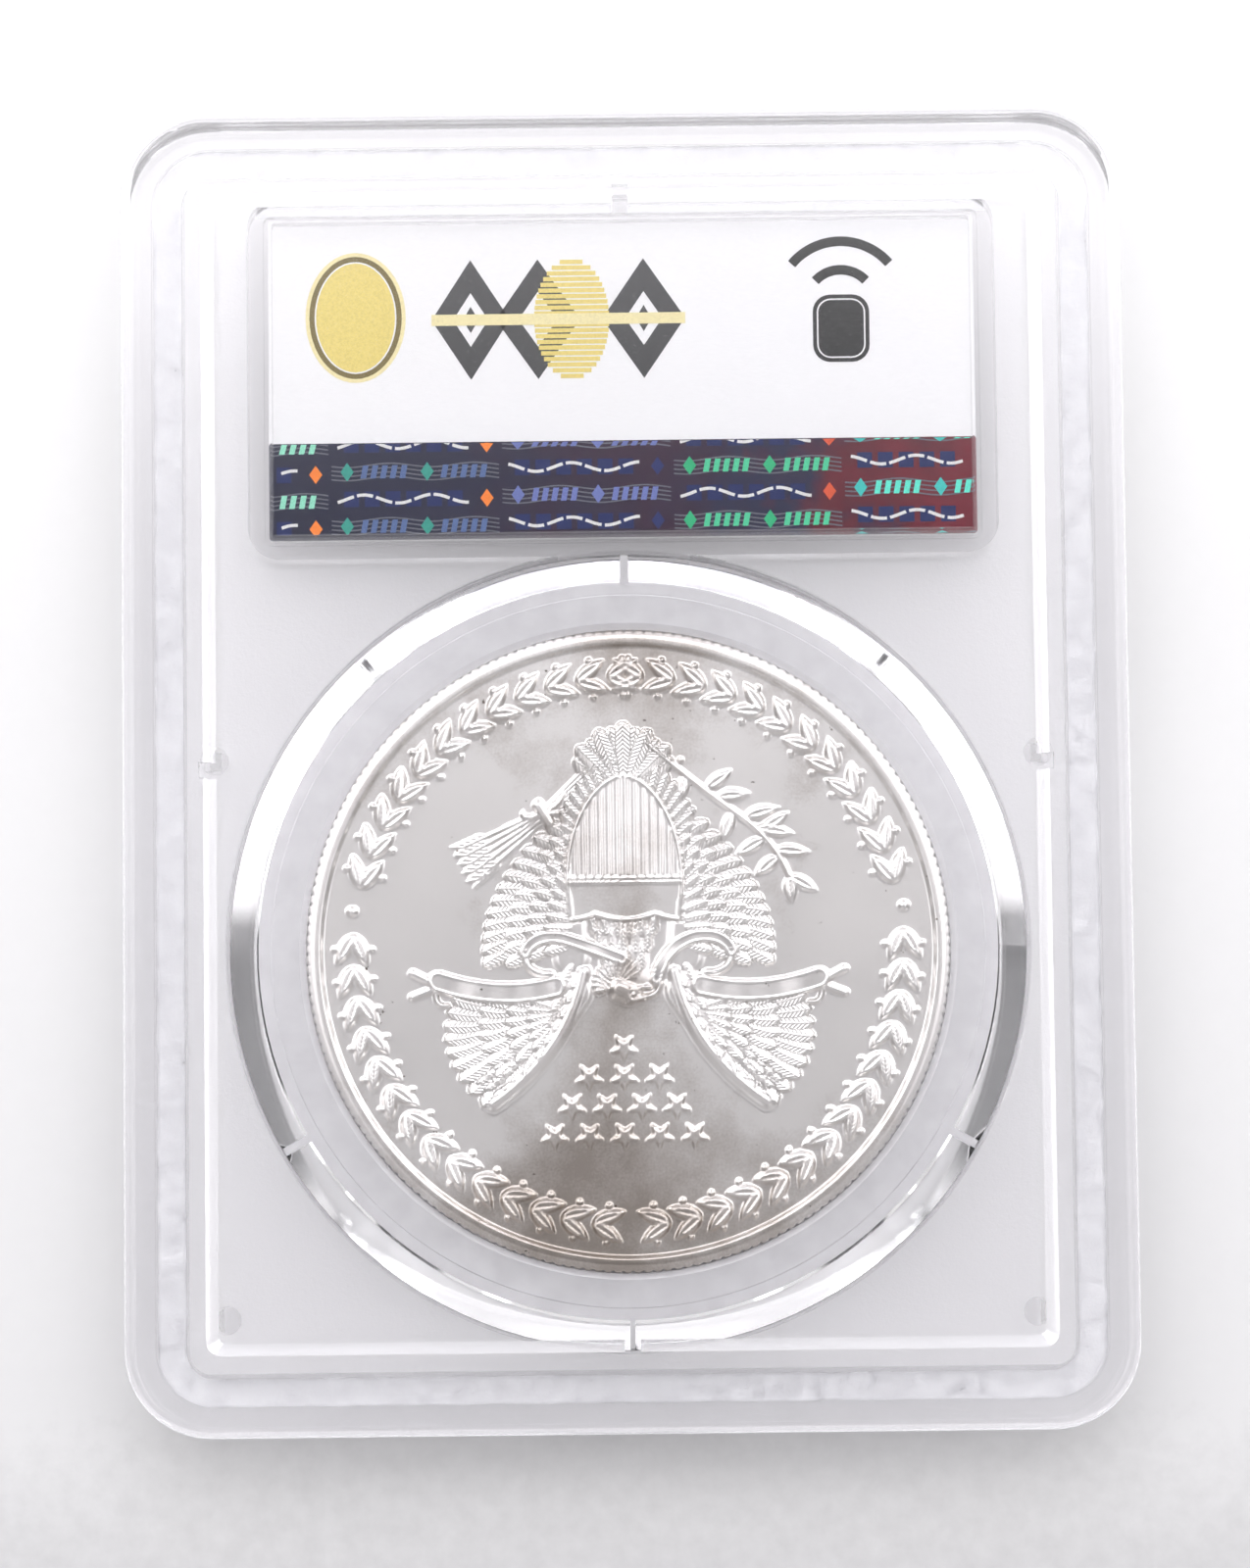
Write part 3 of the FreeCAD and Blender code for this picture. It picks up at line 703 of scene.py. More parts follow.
def make_coin():
    """Struck coin with a relief on both faces and a reeded edge."""
    face_radius = COIN_RADIUS - EDGE_CHAMFER
    corners, faces, layers = [], [], []
    start = 0
    outlines = []
    for cells, strike, level, way in (
            (REVERSE_CELLS, strike_reverse, COIN_HIGH.z, 1),
            (REVERSE_CELLS // 2, strike_obverse, COIN_LOW.z, -1)):
        scale = face_radius if way > 0 else face_radius - OBVERSE_INSET
        x, y = disc_points(cells)
        x, y = x * scale, y * scale
        height, relief = face_height(x, y, strike, way < 0)
        corners.append(np.stack([x, y, level + way * height], 1))
        quads, outline = disc_cells(cells)
        faces.append((quads[:, ::way] + start).tolist())
        outlines.append(outline + start)
        layers.append((relief.along, relief.across, relief.barbed))
        start += len(x)
    count = len(outlines[0])
    angle = np.arange(count) / count * 2 * math.pi - math.pi / 4
    groove = np.where(np.arange(count) % POINTS_PER_REED < GROOVE_POINTS, REED_DEPTH, 0.0)
    loops = [outlines[0]]
    for radius, level in ((COIN_RADIUS - groove, COIN_HIGH.z - EDGE_CHAMFER),
                          (COIN_RADIUS - groove, COIN_LOW.z + EDGE_CHAMFER),
                          (face_radius + 0 * groove, COIN_LOW.z)):
        corners.append(np.stack([radius * np.cos(angle), radius * np.sin(angle),
                                 np.full(count, level)], 1))
        loops.append(np.arange(start, start + count))
        start += count
    wall = []
    for upper, lower in zip(loops, loops[1:]):
        wall.append(np.stack([upper, lower, np.roll(lower, -1), np.roll(upper, -1)],
                             1).tolist())
    last, low = loops[-1], outlines[1]
    joins = [(last[k * 2], low[k], last[k * 2 + 1]) for k in range(len(low))]
    joins += [(last[k * 2 + 1], low[k], low[(k + 1) % len(low)],
               last[(k * 2 + 2) % count]) for k in range(len(low))]
    coin = add_object("coin_struck", np.concatenate(corners),
                      sum(faces + wall, []) + joins, struck_silver(), smoothed=True)
    mesh = coin.data
    for name, part in zip(("along", "across", "barbed"), range(3)):
        values = np.zeros(len(mesh.vertices), np.float32)
        taken = np.concatenate([layer[part] for layer in layers])
        values[:len(taken)] = taken
        mesh.attributes.new(name, "FLOAT", "POINT").data.foreach_set("value", values)
    coin.location = (COIN_CENTRE.x, COIN_CENTRE.y, 0)
    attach(coin, BODY)
    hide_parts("coin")


def struck_silver():
    """Satin struck silver: radial flow lines, feather barbs, light toning and specks, with
    painted shade that darkens it towards -Y and a painted cartwheel sheen that lightens its
    sides.
    """
    material, graph = new_material("struck_silver")
    where, x, y = graph.position()[:3]
    along, across, barbed = (graph.add("ShaderNodeAttribute", attribute_name=name)
                             .outputs["Fac"] for name in ("along", "across", "barbed"))
    gap = graph.math("ABSOLUTE", across)
    slant = graph.total(along, graph.times(gap, BARB_SLANT))
    ridge = graph.math("SINE", graph.times(slant, 2 * math.pi / BARB_PITCH))
    quill = graph.span(gap, 0.03, 0.09, 1.0, 0.0)
    feathers = graph.times(barbed, graph.total(quill, graph.times(ridge, BARB_RIDGE)))
    around = graph.times(graph.math("ARCTAN2", y, x), COIN_RADIUS)
    outward = graph.math("SQRT", graph.total(graph.times(x, x), graph.times(y, y)))
    unrolled = graph.add("ShaderNodeCombineXYZ", {
        0: around, 1: graph.times(outward, FLOW_STRETCH)}).outputs[0]
    flow = graph.noise(7000.0, 3.0, 0.6, unrolled)
    grain = graph.noise(20000.0, 2.0, 0.7, where)
    detail = graph.total(feathers, graph.times(grain, GRAIN_RISE),
                         graph.times(flow, FLOW_RISE))
    cloud = graph.noise(130.0, 4.0, 0.6, where)
    speckle = graph.noise(6500.0, 2.0, 0.6, where)
    # painted sheen: the field lighter at the left and right, in place of the cartwheel lustre
    painted_sheen_side = graph.math("DIVIDE", graph.math("ABSOLUTE", x), outward)
    # random toning cloud and specks, plus painted shade towards -Y and the painted sheen at the
    # sides
    toning_and_painted_light = graph.total(cloud, graph.span(y, *PAINTED_SHADE_RUN),
                        graph.span(painted_sheen_side, 0.2, 0.9, -0.12, 0.12),
                        graph.span(speckle, 0.3, 0.7, -0.05, 0.05))
    colour = graph.ramp(toning_and_painted_light, ((0.22, (0.47, 0.42, 0.375)), (0.42, (0.70, 0.66, 0.625)),
                                (0.62, (0.93, 0.91, 0.89))))
    dirt = graph.ramp(graph.noise(1500.0, 3.0, 0.6, where), (
        (0.71, (1, 1, 1)), (0.74, (0.25, 0.22, 0.2))))
    stained = graph.add("ShaderNodeMix", {"Factor": 1.0, 6: colour, 7: dirt},
                        data_type="RGBA", blend_type="MULTIPLY").outputs[2]
    finish_surface(graph, graph.solid(
        Base_Color=stained, Metallic=1.0,
        Roughness=graph.span(cloud, 0.3, 0.7, 0.275, 0.295),
        Normal=graph.bump(detail, 0.03 * MM)))
    return material


# ---- printed marks -----------------------------------------------------------------
INK = 0.01 * MM                  # how proud a printed mark stands
INK_SINK = 0.4 * INK             # and how far it reaches into the card


class Print:
    """Thin printed marks on a flat face, gathered in one mesh, each with its colour."""

    def __init__(self, face_z, up=1):
        self.face_z, self.up = face_z, up
        self.corners, self.faces, self.colours = [], [], []

    def shape(self, loops, colour=(0, 0, 0), raised=0.0):
        """Raised flat shape from an outline and the holes in it, in millimetres."""
        flat = [[Vector((x, y, 0)) for x, y in loop] for loop in loops]
        triangles = tessellate_polygon(flat)
        points = [(p.x, p.y) for loop in flat for p in loop]
        start, count = len(self.corners), len(points)
        low, high = -INK_SINK, INK * (1 + raised)
        for rise in (low, high):
            self.corners += [(x * MM, y * MM, self.face_z + self.up * rise)
                             for x, y in points]
        faces = []
        for a, b, c in triangles:
            (ax, ay), (bx, by), (cx, cy) = points[a], points[b], points[c]
            if (bx - ax) * (cy - ay) - (by - ay) * (cx - ax) < 0:
                b, c = c, b
            faces.append((a + count, b + count, c + count))
            faces.append((a, c, b))
        first = 0
        for index, loop in enumerate(loops):
            size = len(loop)
            area = sum(loop[k - 1][0] * loop[k][1] - loop[k][0] * loop[k - 1][1]
                       for k in range(size))
            for k in range(size):
                a, b = first + k, first + (k + 1) % size
                if (area > 0) != (index == 0):
                    a, b = b, a
                faces.append((a, b, b + count, a + count))
            first += size
        for face in faces:
            ordered = face if self.up > 0 else face[::-1]
            self.faces.append([start + k for k in ordered])
            self.colours.append((*colour, 1.0))

    def line(self, points, width, colour=(0, 0, 0), raised=0.0):
        """Line of even width along a chain of points."""
        left, right = [], []
        for index, point in enumerate(points):
            before = points[max(index - 1, 0)]
            after = points[min(index + 1, len(points) - 1)]
            du, dv = after[0] - before[0], after[1] - before[1]
            length = math.hypot(du, dv)
            side = (-dv / length * width / 2, du / length * width / 2)
            left.append((point[0] + side[0], point[1] + side[1]))
            right.append((point[0] - side[0], point[1] - side[1]))
        self.shape([right + left[::-1]], colour, raised)

    def box(self, x0, x1, y0, y1, colour=(0, 0, 0), raised=0.0):
        """Upright rectangle."""
        self.shape([[(x0, y0), (x1, y0), (x1, y1), (x0, y1)]], colour, raised)

    def finish(self, name, material, slot):
        """Makes the object."""
        piece = add_object(name, self.corners, self.faces, material)
        layer = piece.data.attributes.new("ink", "FLOAT_COLOR", "FACE")
        layer.data.foreach_set("color", np.array(self.colours, np.float32).ravel())
        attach(piece, BODY)


OVAL_POINTS, ROUNDING_POINTS = 48, 6


def oval(x, y, half_x, half_y):
    """Points of an ellipse."""
    around = [2 * math.pi * k / OVAL_POINTS for k in range(OVAL_POINTS)]
    return [(x + half_x * math.cos(a), y + half_y * math.sin(a)) for a in around]


def diamond(x, y, half_x, half_y):
    """Corners of a diamond."""
    return [(x + half_x, y), (x, y + half_y), (x - half_x, y), (x, y - half_y)]


def rounded(x0, x1, y0, y1, radius):
    """Outline of a rectangle with round corners."""
    points = []
    for x, y, start in ((x1 - radius, y1 - radius, 0), (x0 + radius, y1 - radius, 90),
                        (x0 + radius, y0 + radius, 180), (x1 - radius, y0 + radius, 270)):
        points += [polar(radius, start + 90 * k / ROUNDING_POINTS, (x, y))
                   for k in range(ROUNDING_POINTS + 1)]
    return points


def ink(name, colour, roughness):
    """Printed ink, with the pale specks that the card's grain leaves in it."""
    darker = tuple(0.85 * c for c in colour)
    speck = tuple(0.75 * c + 0.12 for c in colour)
    return speckled(name, (7000.0, 2.0, 0.7),
                    ((0.30, darker), (0.62, colour), (0.72, speck)), roughness, 0.004)


def card_paper():
    """White coated card with a faint fibre grain."""
    material, graph = new_material("card_paper")
    stretched = graph.add("ShaderNodeMapping", {
        "Vector": graph.position()[0], "Scale": (1.0, 3.5, 1.0)}).outputs[0]
    fibre = graph.noise(2600.0, 4.0, 0.65, stretched)
    finish_surface(graph, graph.solid(
        Base_Color=graph.ramp(fibre, ((0.3, (0.90, 0.90, 0.905)),
                                      (0.7, (0.95, 0.95, 0.955)))),
        Roughness=0.55, Normal=graph.bump(fibre, 0.006 * MM)))
    return material


LABEL_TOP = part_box("back_label")[1].z
LABEL_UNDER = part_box("front_label")[0].z
STRIP_LOW, STRIP_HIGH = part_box("hologram_strip")


BADGE = (-16.95, 29.2)           # middles of the back label's marks, in millimetres
CHAIN_Y, CHAIN_TALL = 28.98, 3.87
DISC_X, DISC_HALF, DISC_LINES = -3.15, 2.4, 21
WAVES = (14.05, 29.75)


def print_back_label():
    """Badge, interlaced diamonds and wireless mark on the label's white field."""
    grey = ink("ink_grey", (0.055, 0.055, 0.058), 0.5)
    gold = ink("ink_gold", (0.86, 0.70, 0.20), 0.45)
    pale = ink("ink_pale_gold", (0.93, 0.83, 0.45), 0.5)
    olive = ink("ink_olive", (0.20, 0.15, 0.035), 0.5)
    black = ink("ink_black", (0.006, 0.006, 0.007), 0.45)

    for name, finish, *halves in (("badge_halo", pale, (3.2, 4.2), (2.95, 3.95)),
                                  ("badge_field", gold, (2.52, 3.52)),
                                  ("badge_outline", olive, (2.95, 3.95), (2.62, 3.62))):
        badge = Print(LABEL_TOP)
        badge.shape([oval(*BADGE, *half) for half in halves])
        badge.finish(name, finish, "label_card")

    dark = Print(LABEL_TOP)
    for x, half, share in ((-9.6, 2.5, 0.45), (-5.3, 2.7, 0.46), (1.45, 2.65, 0.45)):
        dark.shape([diamond(x, CHAIN_Y, half, CHAIN_TALL),
                    diamond(x, CHAIN_Y, half * share, CHAIN_TALL * share)])
    for x in (-9.6, 1.45):
        dark.shape([diamond(x, CHAIN_Y, 0.5, 0.85)])
    dark.finish("diamond_chain", grey, "label_card")
    disc = Print(LABEL_TOP)
    for k in range(DISC_LINES):
        share = 2 * (k + 0.5) / DISC_LINES - 1
        y = CHAIN_Y + CHAIN_TALL * share
        half = DISC_HALF * math.sqrt(max(1 - share ** 2, 0.02))
        disc.box(DISC_X - half, DISC_X + half, y - 0.14, y + 0.14, raised=0.5)
    disc.finish("hatched_disc", gold, "label_card")
    stripe = Print(LABEL_TOP)
    stripe.box(-12.1, 4.1, CHAIN_Y - 0.36, CHAIN_Y + 0.36, raised=1.0)
    stripe.finish("gold_stripe", pale, "label_card")

    mark = Print(LABEL_TOP)
    for radius, half_angle in ((2.2, 47), (4.05, 50)):
        mark.line([polar(radius, 90 - angle, WAVES)
                   for angle in np.linspace(-half_angle, half_angle, 25)], 0.62)
    mark.shape([rounded(12.25, 15.85, 26.0, 30.35, 1.1)])
    mark.finish("wireless_mark", black, "label_card")
    inline = Print(LABEL_TOP)
    inline.shape([rounded(12.50, 15.60, 26.25, 30.10, 0.9),
                  rounded(12.60, 15.50, 26.35, 30.00, 0.8)], raised=0.5)
    inline.finish("tag_inline", ink("ink_white", (0.9, 0.9, 0.9), 0.5), "label_card")


def print_front_label():
    """Plain bars, a row of upright stripes and a band on the label's hidden side."""
    bars = Print(LABEL_UNDER, up=-1)
    for x0, x1, y in ((-20, -4, 32.2), (-20, -8, 29.4), (-20, -11, 26.6)):
        bars.box(x0, x1, y - 0.7, y + 0.7)
    x = 4.0
    for k in range(34):
        width = (0.22, 0.44, 0.22, 0.66)[(k * k + 3 * k) % 4]
        bars.box(x, x + width, 19.0, 24.0)
        x += width + (0.25, 0.5)[k % 3 == 1]
    bars.finish("front_bars", bpy.data.materials["ink_black"], "label_card")
    band = Print(LABEL_UNDER, up=-1)
    band.box(-22.0, 22.0, 34.3, 35.1)
    band.finish("front_band", bpy.data.materials["ink_gold"], "label_card")


# ---- hologram strip ----------------------------------------------------------------
SEAMS = (-22.5, -18.66, -7.78, 3.16, 14.04, 22.5)      # edges of the foil's five panels
PANEL_WIDTH = 10.9               # of a whole panel; the first and last are cut short
ROW_PITCH, ROW_COUNT = 1.75, 5
WAVE_STEP = 0.16
SLIVER = 0.04                    # marks thinner than this are left out
FOIL_BLUE, FOIL_WHITE, FOIL_GREY = (0.012, 0.022, 0.11), (0.78, 0.78, 0.76), (0.14, 0.15, 0.18)
MINT, SLATE, LILAC = (0.30, 0.75, 0.55), (0.10, 0.16, 0.34), (0.16, 0.20, 0.48)
GREEN, TEAL, ORANGE, RED = ((0.03, 0.45, 0.20), (0.05, 0.55, 0.50), (0.95, 0.25, 0.04),
                            (0.70, 0.10, 0.04))
PANEL_TINTS = (((0.25, 0.70, 0.45), MINT, ORANGE), ((0.04, 0.33, 0.26), SLATE, ORANGE),
               (LILAC, LILAC, (0.02, 0.03, 0.14)), (GREEN, (0.08, 0.60, 0.32), RED),
               (TEAL, (0.12, 0.80, 0.62), RED))
PANEL_SHIFTS = (0.05, 0.2, 0.38, 0.38, 0.6)      # how far each panel's rows are out of line


def wave_points(x0, x1, y, rise, length):
    """Chain of points along a wave."""
    count = max(int((x1 - x0) / WAVE_STEP), 2)
    return [(x0 + (x1 - x0) * k / count,
             y + rise * math.sin(2 * math.pi * (x0 + (x1 - x0) * k / count) / length))
            for k in range(count + 1)]


class FoilPrint(Print):
    """Printed marks that are cut off at the foil's edges."""

    def shape(self, loops, colour=(0, 0, 0), raised=0.0):
        """Raised flat shape, held inside the foil."""
        low_x, high_x = SEAMS[0] + 0.02, SEAMS[-1] - 0.02
        low_y, high_y = STRIP_LOW.y / MM + 0.05, STRIP_HIGH.y / MM - 0.05
        held = [[(min(max(x, low_x), high_x), min(max(y, low_y), high_y))
                 for x, y in loop] for loop in loops]
        xs, ys = zip(*[point for loop in held for point in loop])
        if max(ys) - min(ys) > SLIVER and max(xs) - min(xs) > SLIVER:
            super().shape(held, colour, raised)


def hologram_marks():
    """Repeating waves, blocks and diamonds over the foil, out of line at its seams."""
    marks = FoilPrint(STRIP_HIGH.z)
    for panel, (x0, x1) in enumerate(zip(SEAMS, SEAMS[1:])):
        first, second, accent = PANEL_TINTS[panel]
        start = x1 - PANEL_WIDTH if panel == 0 else x0
        for row in range(ROW_COUNT):
            y = STRIP_HIGH.y / MM - 0.3 - ROW_PITCH * row + PANEL_SHIFTS[panel]
            if (row + panel) % 2:
                wave_row(marks, start, x0, x1, y, accent)
            else:
                mark_row(marks, start, x0, x1, y, first, second)
    marks.finish("hologram_marks", foil_print(), "hologram_foil")


def wave_row(marks, start, x0, x1, y, accent):
    """Dashed white wave over faint blue blocks, with one bright diamond at its end."""
    for k in range(6):
        x = start + 0.9 + 1.32 * k
        if x0 < x and x + 1.0 < x1:
            marks.box(x, x + 0.95, y - 0.5, y + 0.5, FOIL_BLUE)
    x = start + 0.5
    while x < start + 9.0:
        if x0 < x + 0.2 and x + 0.9 < x1:
            marks.line(wave_points(max(x, x0), x + 1.02, y, 0.27, 4.4), 0.2,
                       FOIL_WHITE, 0.6)
        x += 1.22
    if start + 10.4 < x1:
        marks.shape([diamond(start + 10.0, y, 0.42, 0.58)], accent, 0.6)


def mark_row(marks, start, x0, x1, y, first, second):
    """Fine grey waves with small diamonds and slanted bars on them."""
    for rise in (-0.42, -0.14, 0.14, 0.42):
        marks.line(wave_points(x0 + 0.1, x1 - 0.1, y + rise, 0.13, 5.4), 0.09, FOIL_GREY)
    for group in range(2):
        x = start + 1.1 + 5.1 * group
        if x0 < x - 0.4 and x + 0.4 < x1:
            marks.shape([diamond(x, y, 0.42, 0.6)], first, 0.6)
        for k in range(5):
            left = x + 0.85 + 0.62 * k
            if x0 < left and left + 0.5 < x1:
                lean = 0.16
                marks.shape([[(left, y - 0.42), (left + 0.36, y - 0.42),
                              (left + 0.36 + lean, y + 0.42), (left + lean, y + 0.42)]],
                            second, 0.6)


def foil_print():
    """Bright print on the foil: colours with a slight metal sheen."""
    material, graph = new_material("foil_print")
    grain = graph.noise(14000.0, 2.0, 0.7, graph.position()[0])
    colour = graph.add("ShaderNodeAttribute", attribute_name="ink").outputs["Color"]
    shade = graph.add("ShaderNodeHueSaturation", {
        "Value": graph.span(grain, 0.3, 0.7, 0.85, 1.15), "Color": colour})
    finish_surface(graph, graph.solid(
        Base_Color=shade.outputs[0], Roughness=0.45, Metallic=0.15,
        Normal=graph.bump(grain, 0.002 * MM)))
    return material


def hologram_foil():
    """Near-black foil with a painted iridescent sheen: navy to the left, wine red towards the
    right end.
    """
    material, graph = new_material("hologram_foil")
    where, x = graph.position()[:2]
    cloud = graph.noise(180.0, 3.0, 0.6, where)
    # painted sheen: the foil's colour shifts along X as its iridescence would under these lamps
    place = graph.total(graph.span(x, -22 * MM, 22 * MM, 0.0, 0.9),
                        graph.span(cloud, 0.3, 0.7, -0.08, 0.16))
    colour = graph.ramp(place, (
        (0.00, (0.008, 0.010, 0.035)), (0.30, (0.012, 0.012, 0.04)),
        (0.52, (0.030, 0.008, 0.030)), (0.72, (0.012, 0.014, 0.05)),
        (0.82, (0.10, 0.006, 0.018)), (0.95, (0.16, 0.006, 0.02))))
    weave = graph.noise(30000.0, 2.0, 0.7, where)
    finish_surface(graph, graph.solid(
        Base_Color=colour, Roughness=0.35, Normal=graph.bump(weave, 0.002 * MM)))
    return material


# ---- inside the label pocket -------------------------------------------------------
def tag_film():
    """Amber polyester film."""
    return speckled("tag_film", (900.0, 3.0, 0.6),
                    ((0.3, (0.80, 0.62, 0.30)), (0.7, (0.88, 0.72, 0.42))), 0.3, 0.003)


def etched_foil():
    """Etched aluminium of the aerial."""
    return speckled("etched_foil", (6000.0, 3.0, 0.7),
                    ((0.3, (0.72, 0.73, 0.75)), (0.7, (0.86, 0.86, 0.87))),
                    (0.3, 0.45), 0.002, Metallic=1.0)


# ---- weld seal ---------------------------------------------------------------------
CORNER_RADIUS = 5.5 * MM
CORNER_POINTS, RUN_POINTS = 14, 60
SEAL_OUTER, SEAL_INNER = 1.96 * MM, 3.74 * MM    # its edges, from the slab's outline
SEAL_COLUMNS = 8                 # quads across it
SEAL_SLACK = 0.06 * MM           # between its faces and the CAD bead's
SEAL_WOBBLE = 0.05 * MM          # how uneven its edges are
SEAL_DENTS = 0.0245 * MM         # and its faces


def inset_outline(inset):
    """Rounded rectangle a distance in from the slab's outline, anticlockwise."""
    half_x = extent("back_shell").x / 2 - CORNER_RADIUS
    half_y = extent("back_shell").y / 2 - CORNER_RADIUS
    radius = CORNER_RADIUS - inset
    corners = [[polar(radius, start + 90 * k / CORNER_POINTS, (side_x * half_x, side_y * half_y))
                for k in range(CORNER_POINTS + 1)]
               for side_x, side_y, start in ((1, 1, 0), (-1, 1, 90), (-1, -1, 180),
                                             (1, -1, 270))]
    points = []
    for arc, following in zip(corners, corners[1:] + corners[:1]):
        (x0, y0), (x1, y1) = arc[-1], following[0]
        points += arc
        points += [(x0 + (x1 - x0) * k / RUN_POINTS, y0 + (y1 - y0) * k / RUN_POINTS)
                   for k in range(1, RUN_POINTS)]
    return np.array(points)


def make_weld_seal():
    """Band where the two shells melted together, with an uneven squeezed-out edge."""
    low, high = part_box("weld_bead")
    outer, inner = inset_outline(SEAL_OUTER), inset_outline(SEAL_INNER)
    count = len(outer)
    around = np.arange(count) / count * 2 * math.pi
    ripple = (np.sin(37 * around) + np.sin(61 * around + 1.0) + np.sin(97 * around + 2.0)) / 3
    outward = (outer - inner) / np.linalg.norm(outer - inner, axis=1)[:, None]
    rings = []
    for k in range(SEAL_COLUMNS + 1):
        mix = k / SEAL_COLUMNS
        wobble = SEAL_WOBBLE * ripple[:, None] * (mix - 0.5) * 2
        dents = np.sin(around * (53 + 17 * k) + k) * np.sin(around * 29 + 2 * k)
        rings.append((outer + (inner - outer) * mix - wobble * outward, SEAL_DENTS * dents))
    corners = [np.column_stack([ring, level + way * dents])
               for level, way in ((high.z - SEAL_SLACK, 1), (low.z + SEAL_SLACK, -1))
               for ring, dents in rings]
    step = np.arange(count)
    following = (step + 1) % count
    under = SEAL_COLUMNS + 1
    upper = [(k, k + 1) for k in range(SEAL_COLUMNS)] + [(under, 0)]
    lower = [(under + k, under + k + 1) for k in range(SEAL_COLUMNS)]
    lower.append((under + SEAL_COLUMNS, SEAL_COLUMNS))
    faces = [np.stack([a * count + step, a * count + following, b * count + following,
                       b * count + step], 1) for a, b in upper]
    faces += [np.stack([a * count + step, b * count + step, b * count + following,
                        a * count + following], 1) for a, b in lower]
    seal = add_object("weld_seal", np.concatenate(corners),
                      np.concatenate(faces).tolist(), weld_haze(), smoothed=True)
    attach(seal, BODY)
    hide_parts("weld_bead")


def weld_haze():
    """Melted polystyrene with trapped air: cloudy white in a mottled pattern."""
    material, graph = new_material("weld_haze")
    where = graph.position()[0]
    mottle = graph.noise(900.0, 5.0, 0.7, where)
    fine = graph.noise(5200.0, 3.0, 0.7, where)
    both = graph.total(graph.times(mottle, 0.6), graph.times(fine, 0.4))
    colour = graph.ramp(both, ((0.35, (0.80, 0.80, 0.82)), (0.6, (0.97, 0.97, 0.98))))
    surface = graph.solid(
        Base_Color=colour, IOR=STYRENE_IOR,
        Roughness=graph.span(both, 0.35, 0.6, 0.25, 0.6),
        Transmission_Weight=graph.span(both, 0.38, 0.60, 1.0, 0.45),
        Normal=graph.bump(both, 0.05 * MM))
    finish_surface(graph, see_through(graph, surface, (0.9, 0.9, 0.91)))
    return material


def soft_gasket():
    """Clear flexible gasket with a slight milky haze."""
    material, graph = new_material("soft_gasket")
    haze = graph.noise(500.0, 3.0, 0.5, graph.position()[0])
    surface = graph.solid(
        Base_Color=(0.96, 0.955, 0.965, 1.0), IOR=1.49,
        Roughness=graph.span(haze, 0.3, 0.7, 0.12, 0.18),
        Transmission_Weight=graph.span(haze, 0.3, 0.7, 0.66, 0.60),
        Normal=graph.bump(haze, 0.001 * MM))
    finish_surface(graph, see_through(graph, surface, (0.95, 0.95, 0.95)))
    return material


# ---- finishes ----------------------------------------------------------------------
FINISHES = (
    (clear_styrene(), "front_shell", "back_shell"),
    (soft_gasket(), "coin_gasket"),
    (card_paper(), "back_label", "front_label"),
    (hologram_foil(), "hologram_strip"),
    (tag_film(), "nfc_film"),
    (etched_foil(), "nfc_antenna", "nfc_bridge"),
    (ink("chip_epoxy", (0.01, 0.01, 0.011), 0.35), "nfc_chip"))
for finish, *nodes in FINISHES:
    for node in nodes:
        paint(node, finish)
make_coin()
make_weld_seal()
print_back_label()
print_front_label()
hologram_marks()


# ---- room --------------------------------------------------------------------------
ROOF_LIGHT = (0.62, 2.9)         # brightness of the tent's roof, towards -Y and +Y
WALL_LIGHT = 0.45                # of its walls
LOW_WALL_LIGHT = (0.80, 2.20)    # and of their lowest part, towards -Y and +Y
OPENING_SHARE = 0.04             # what is left of it in the opening overhead
OPENING_LEAN = 1.5               # degrees from the zenith to its middle, towards -Y
OPENING_EDGE = (10, 16)          # from its middle to where it starts and ends to fade
GAPS = ((191, 22, 0.01), (349, 22, 0.01))    # azimuth, half width and light left, low down
GAP_EDGE = 3                     # half the width of a gap's soft edge, in degrees
FLOOR_HALF = 1.5
FLOOR_DROP = 0.05 * MM           # so that the floor and the slab's lowest face differ


def make_floor():
    """Plain pale floor that the slab lies on."""
    corners = [(x * FLOOR_HALF, y * FLOOR_HALF, 0)
               for x, y in ((-1, -1), (1, -1), (1, 1), (-1, 1))]
    floor = add_object("floor", corners, [(0, 1, 2, 3)], floor_paper_painted_shade())
    floor.location.z = -FLOOR_DROP


def floor_paper_painted_shade():
    """Matt white paper with painted shade: its colour darkens towards the coin end, standing in
    for the lamps' falloff and the slab's shadow.
    """
    material, graph = new_material("floor_paper_painted_shade")
    where, _, y, _ = graph.position()
    fibre = graph.noise(700.0, 5.0, 0.6, where)
    # painted shade: the colour runs darker towards -Y, for the falloff of light and the slab's
    # shadow below it
    fibre_and_painted_falloff = graph.total(graph.times(fibre, 0.08),
                        graph.span(y, -0.06, 0.05, 0.10, 0.80))
    colour = graph.ramp(fibre_and_painted_falloff, ((0.1, (0.40, 0.395, 0.40)), (0.26, (0.68, 0.675, 0.68)),
                                (0.9, (0.86, 0.855, 0.855))))
    finish_surface(graph, graph.solid(
        Base_Color=colour, Roughness=0.9, Normal=graph.bump(fibre, 0.01 * MM)))
    return material


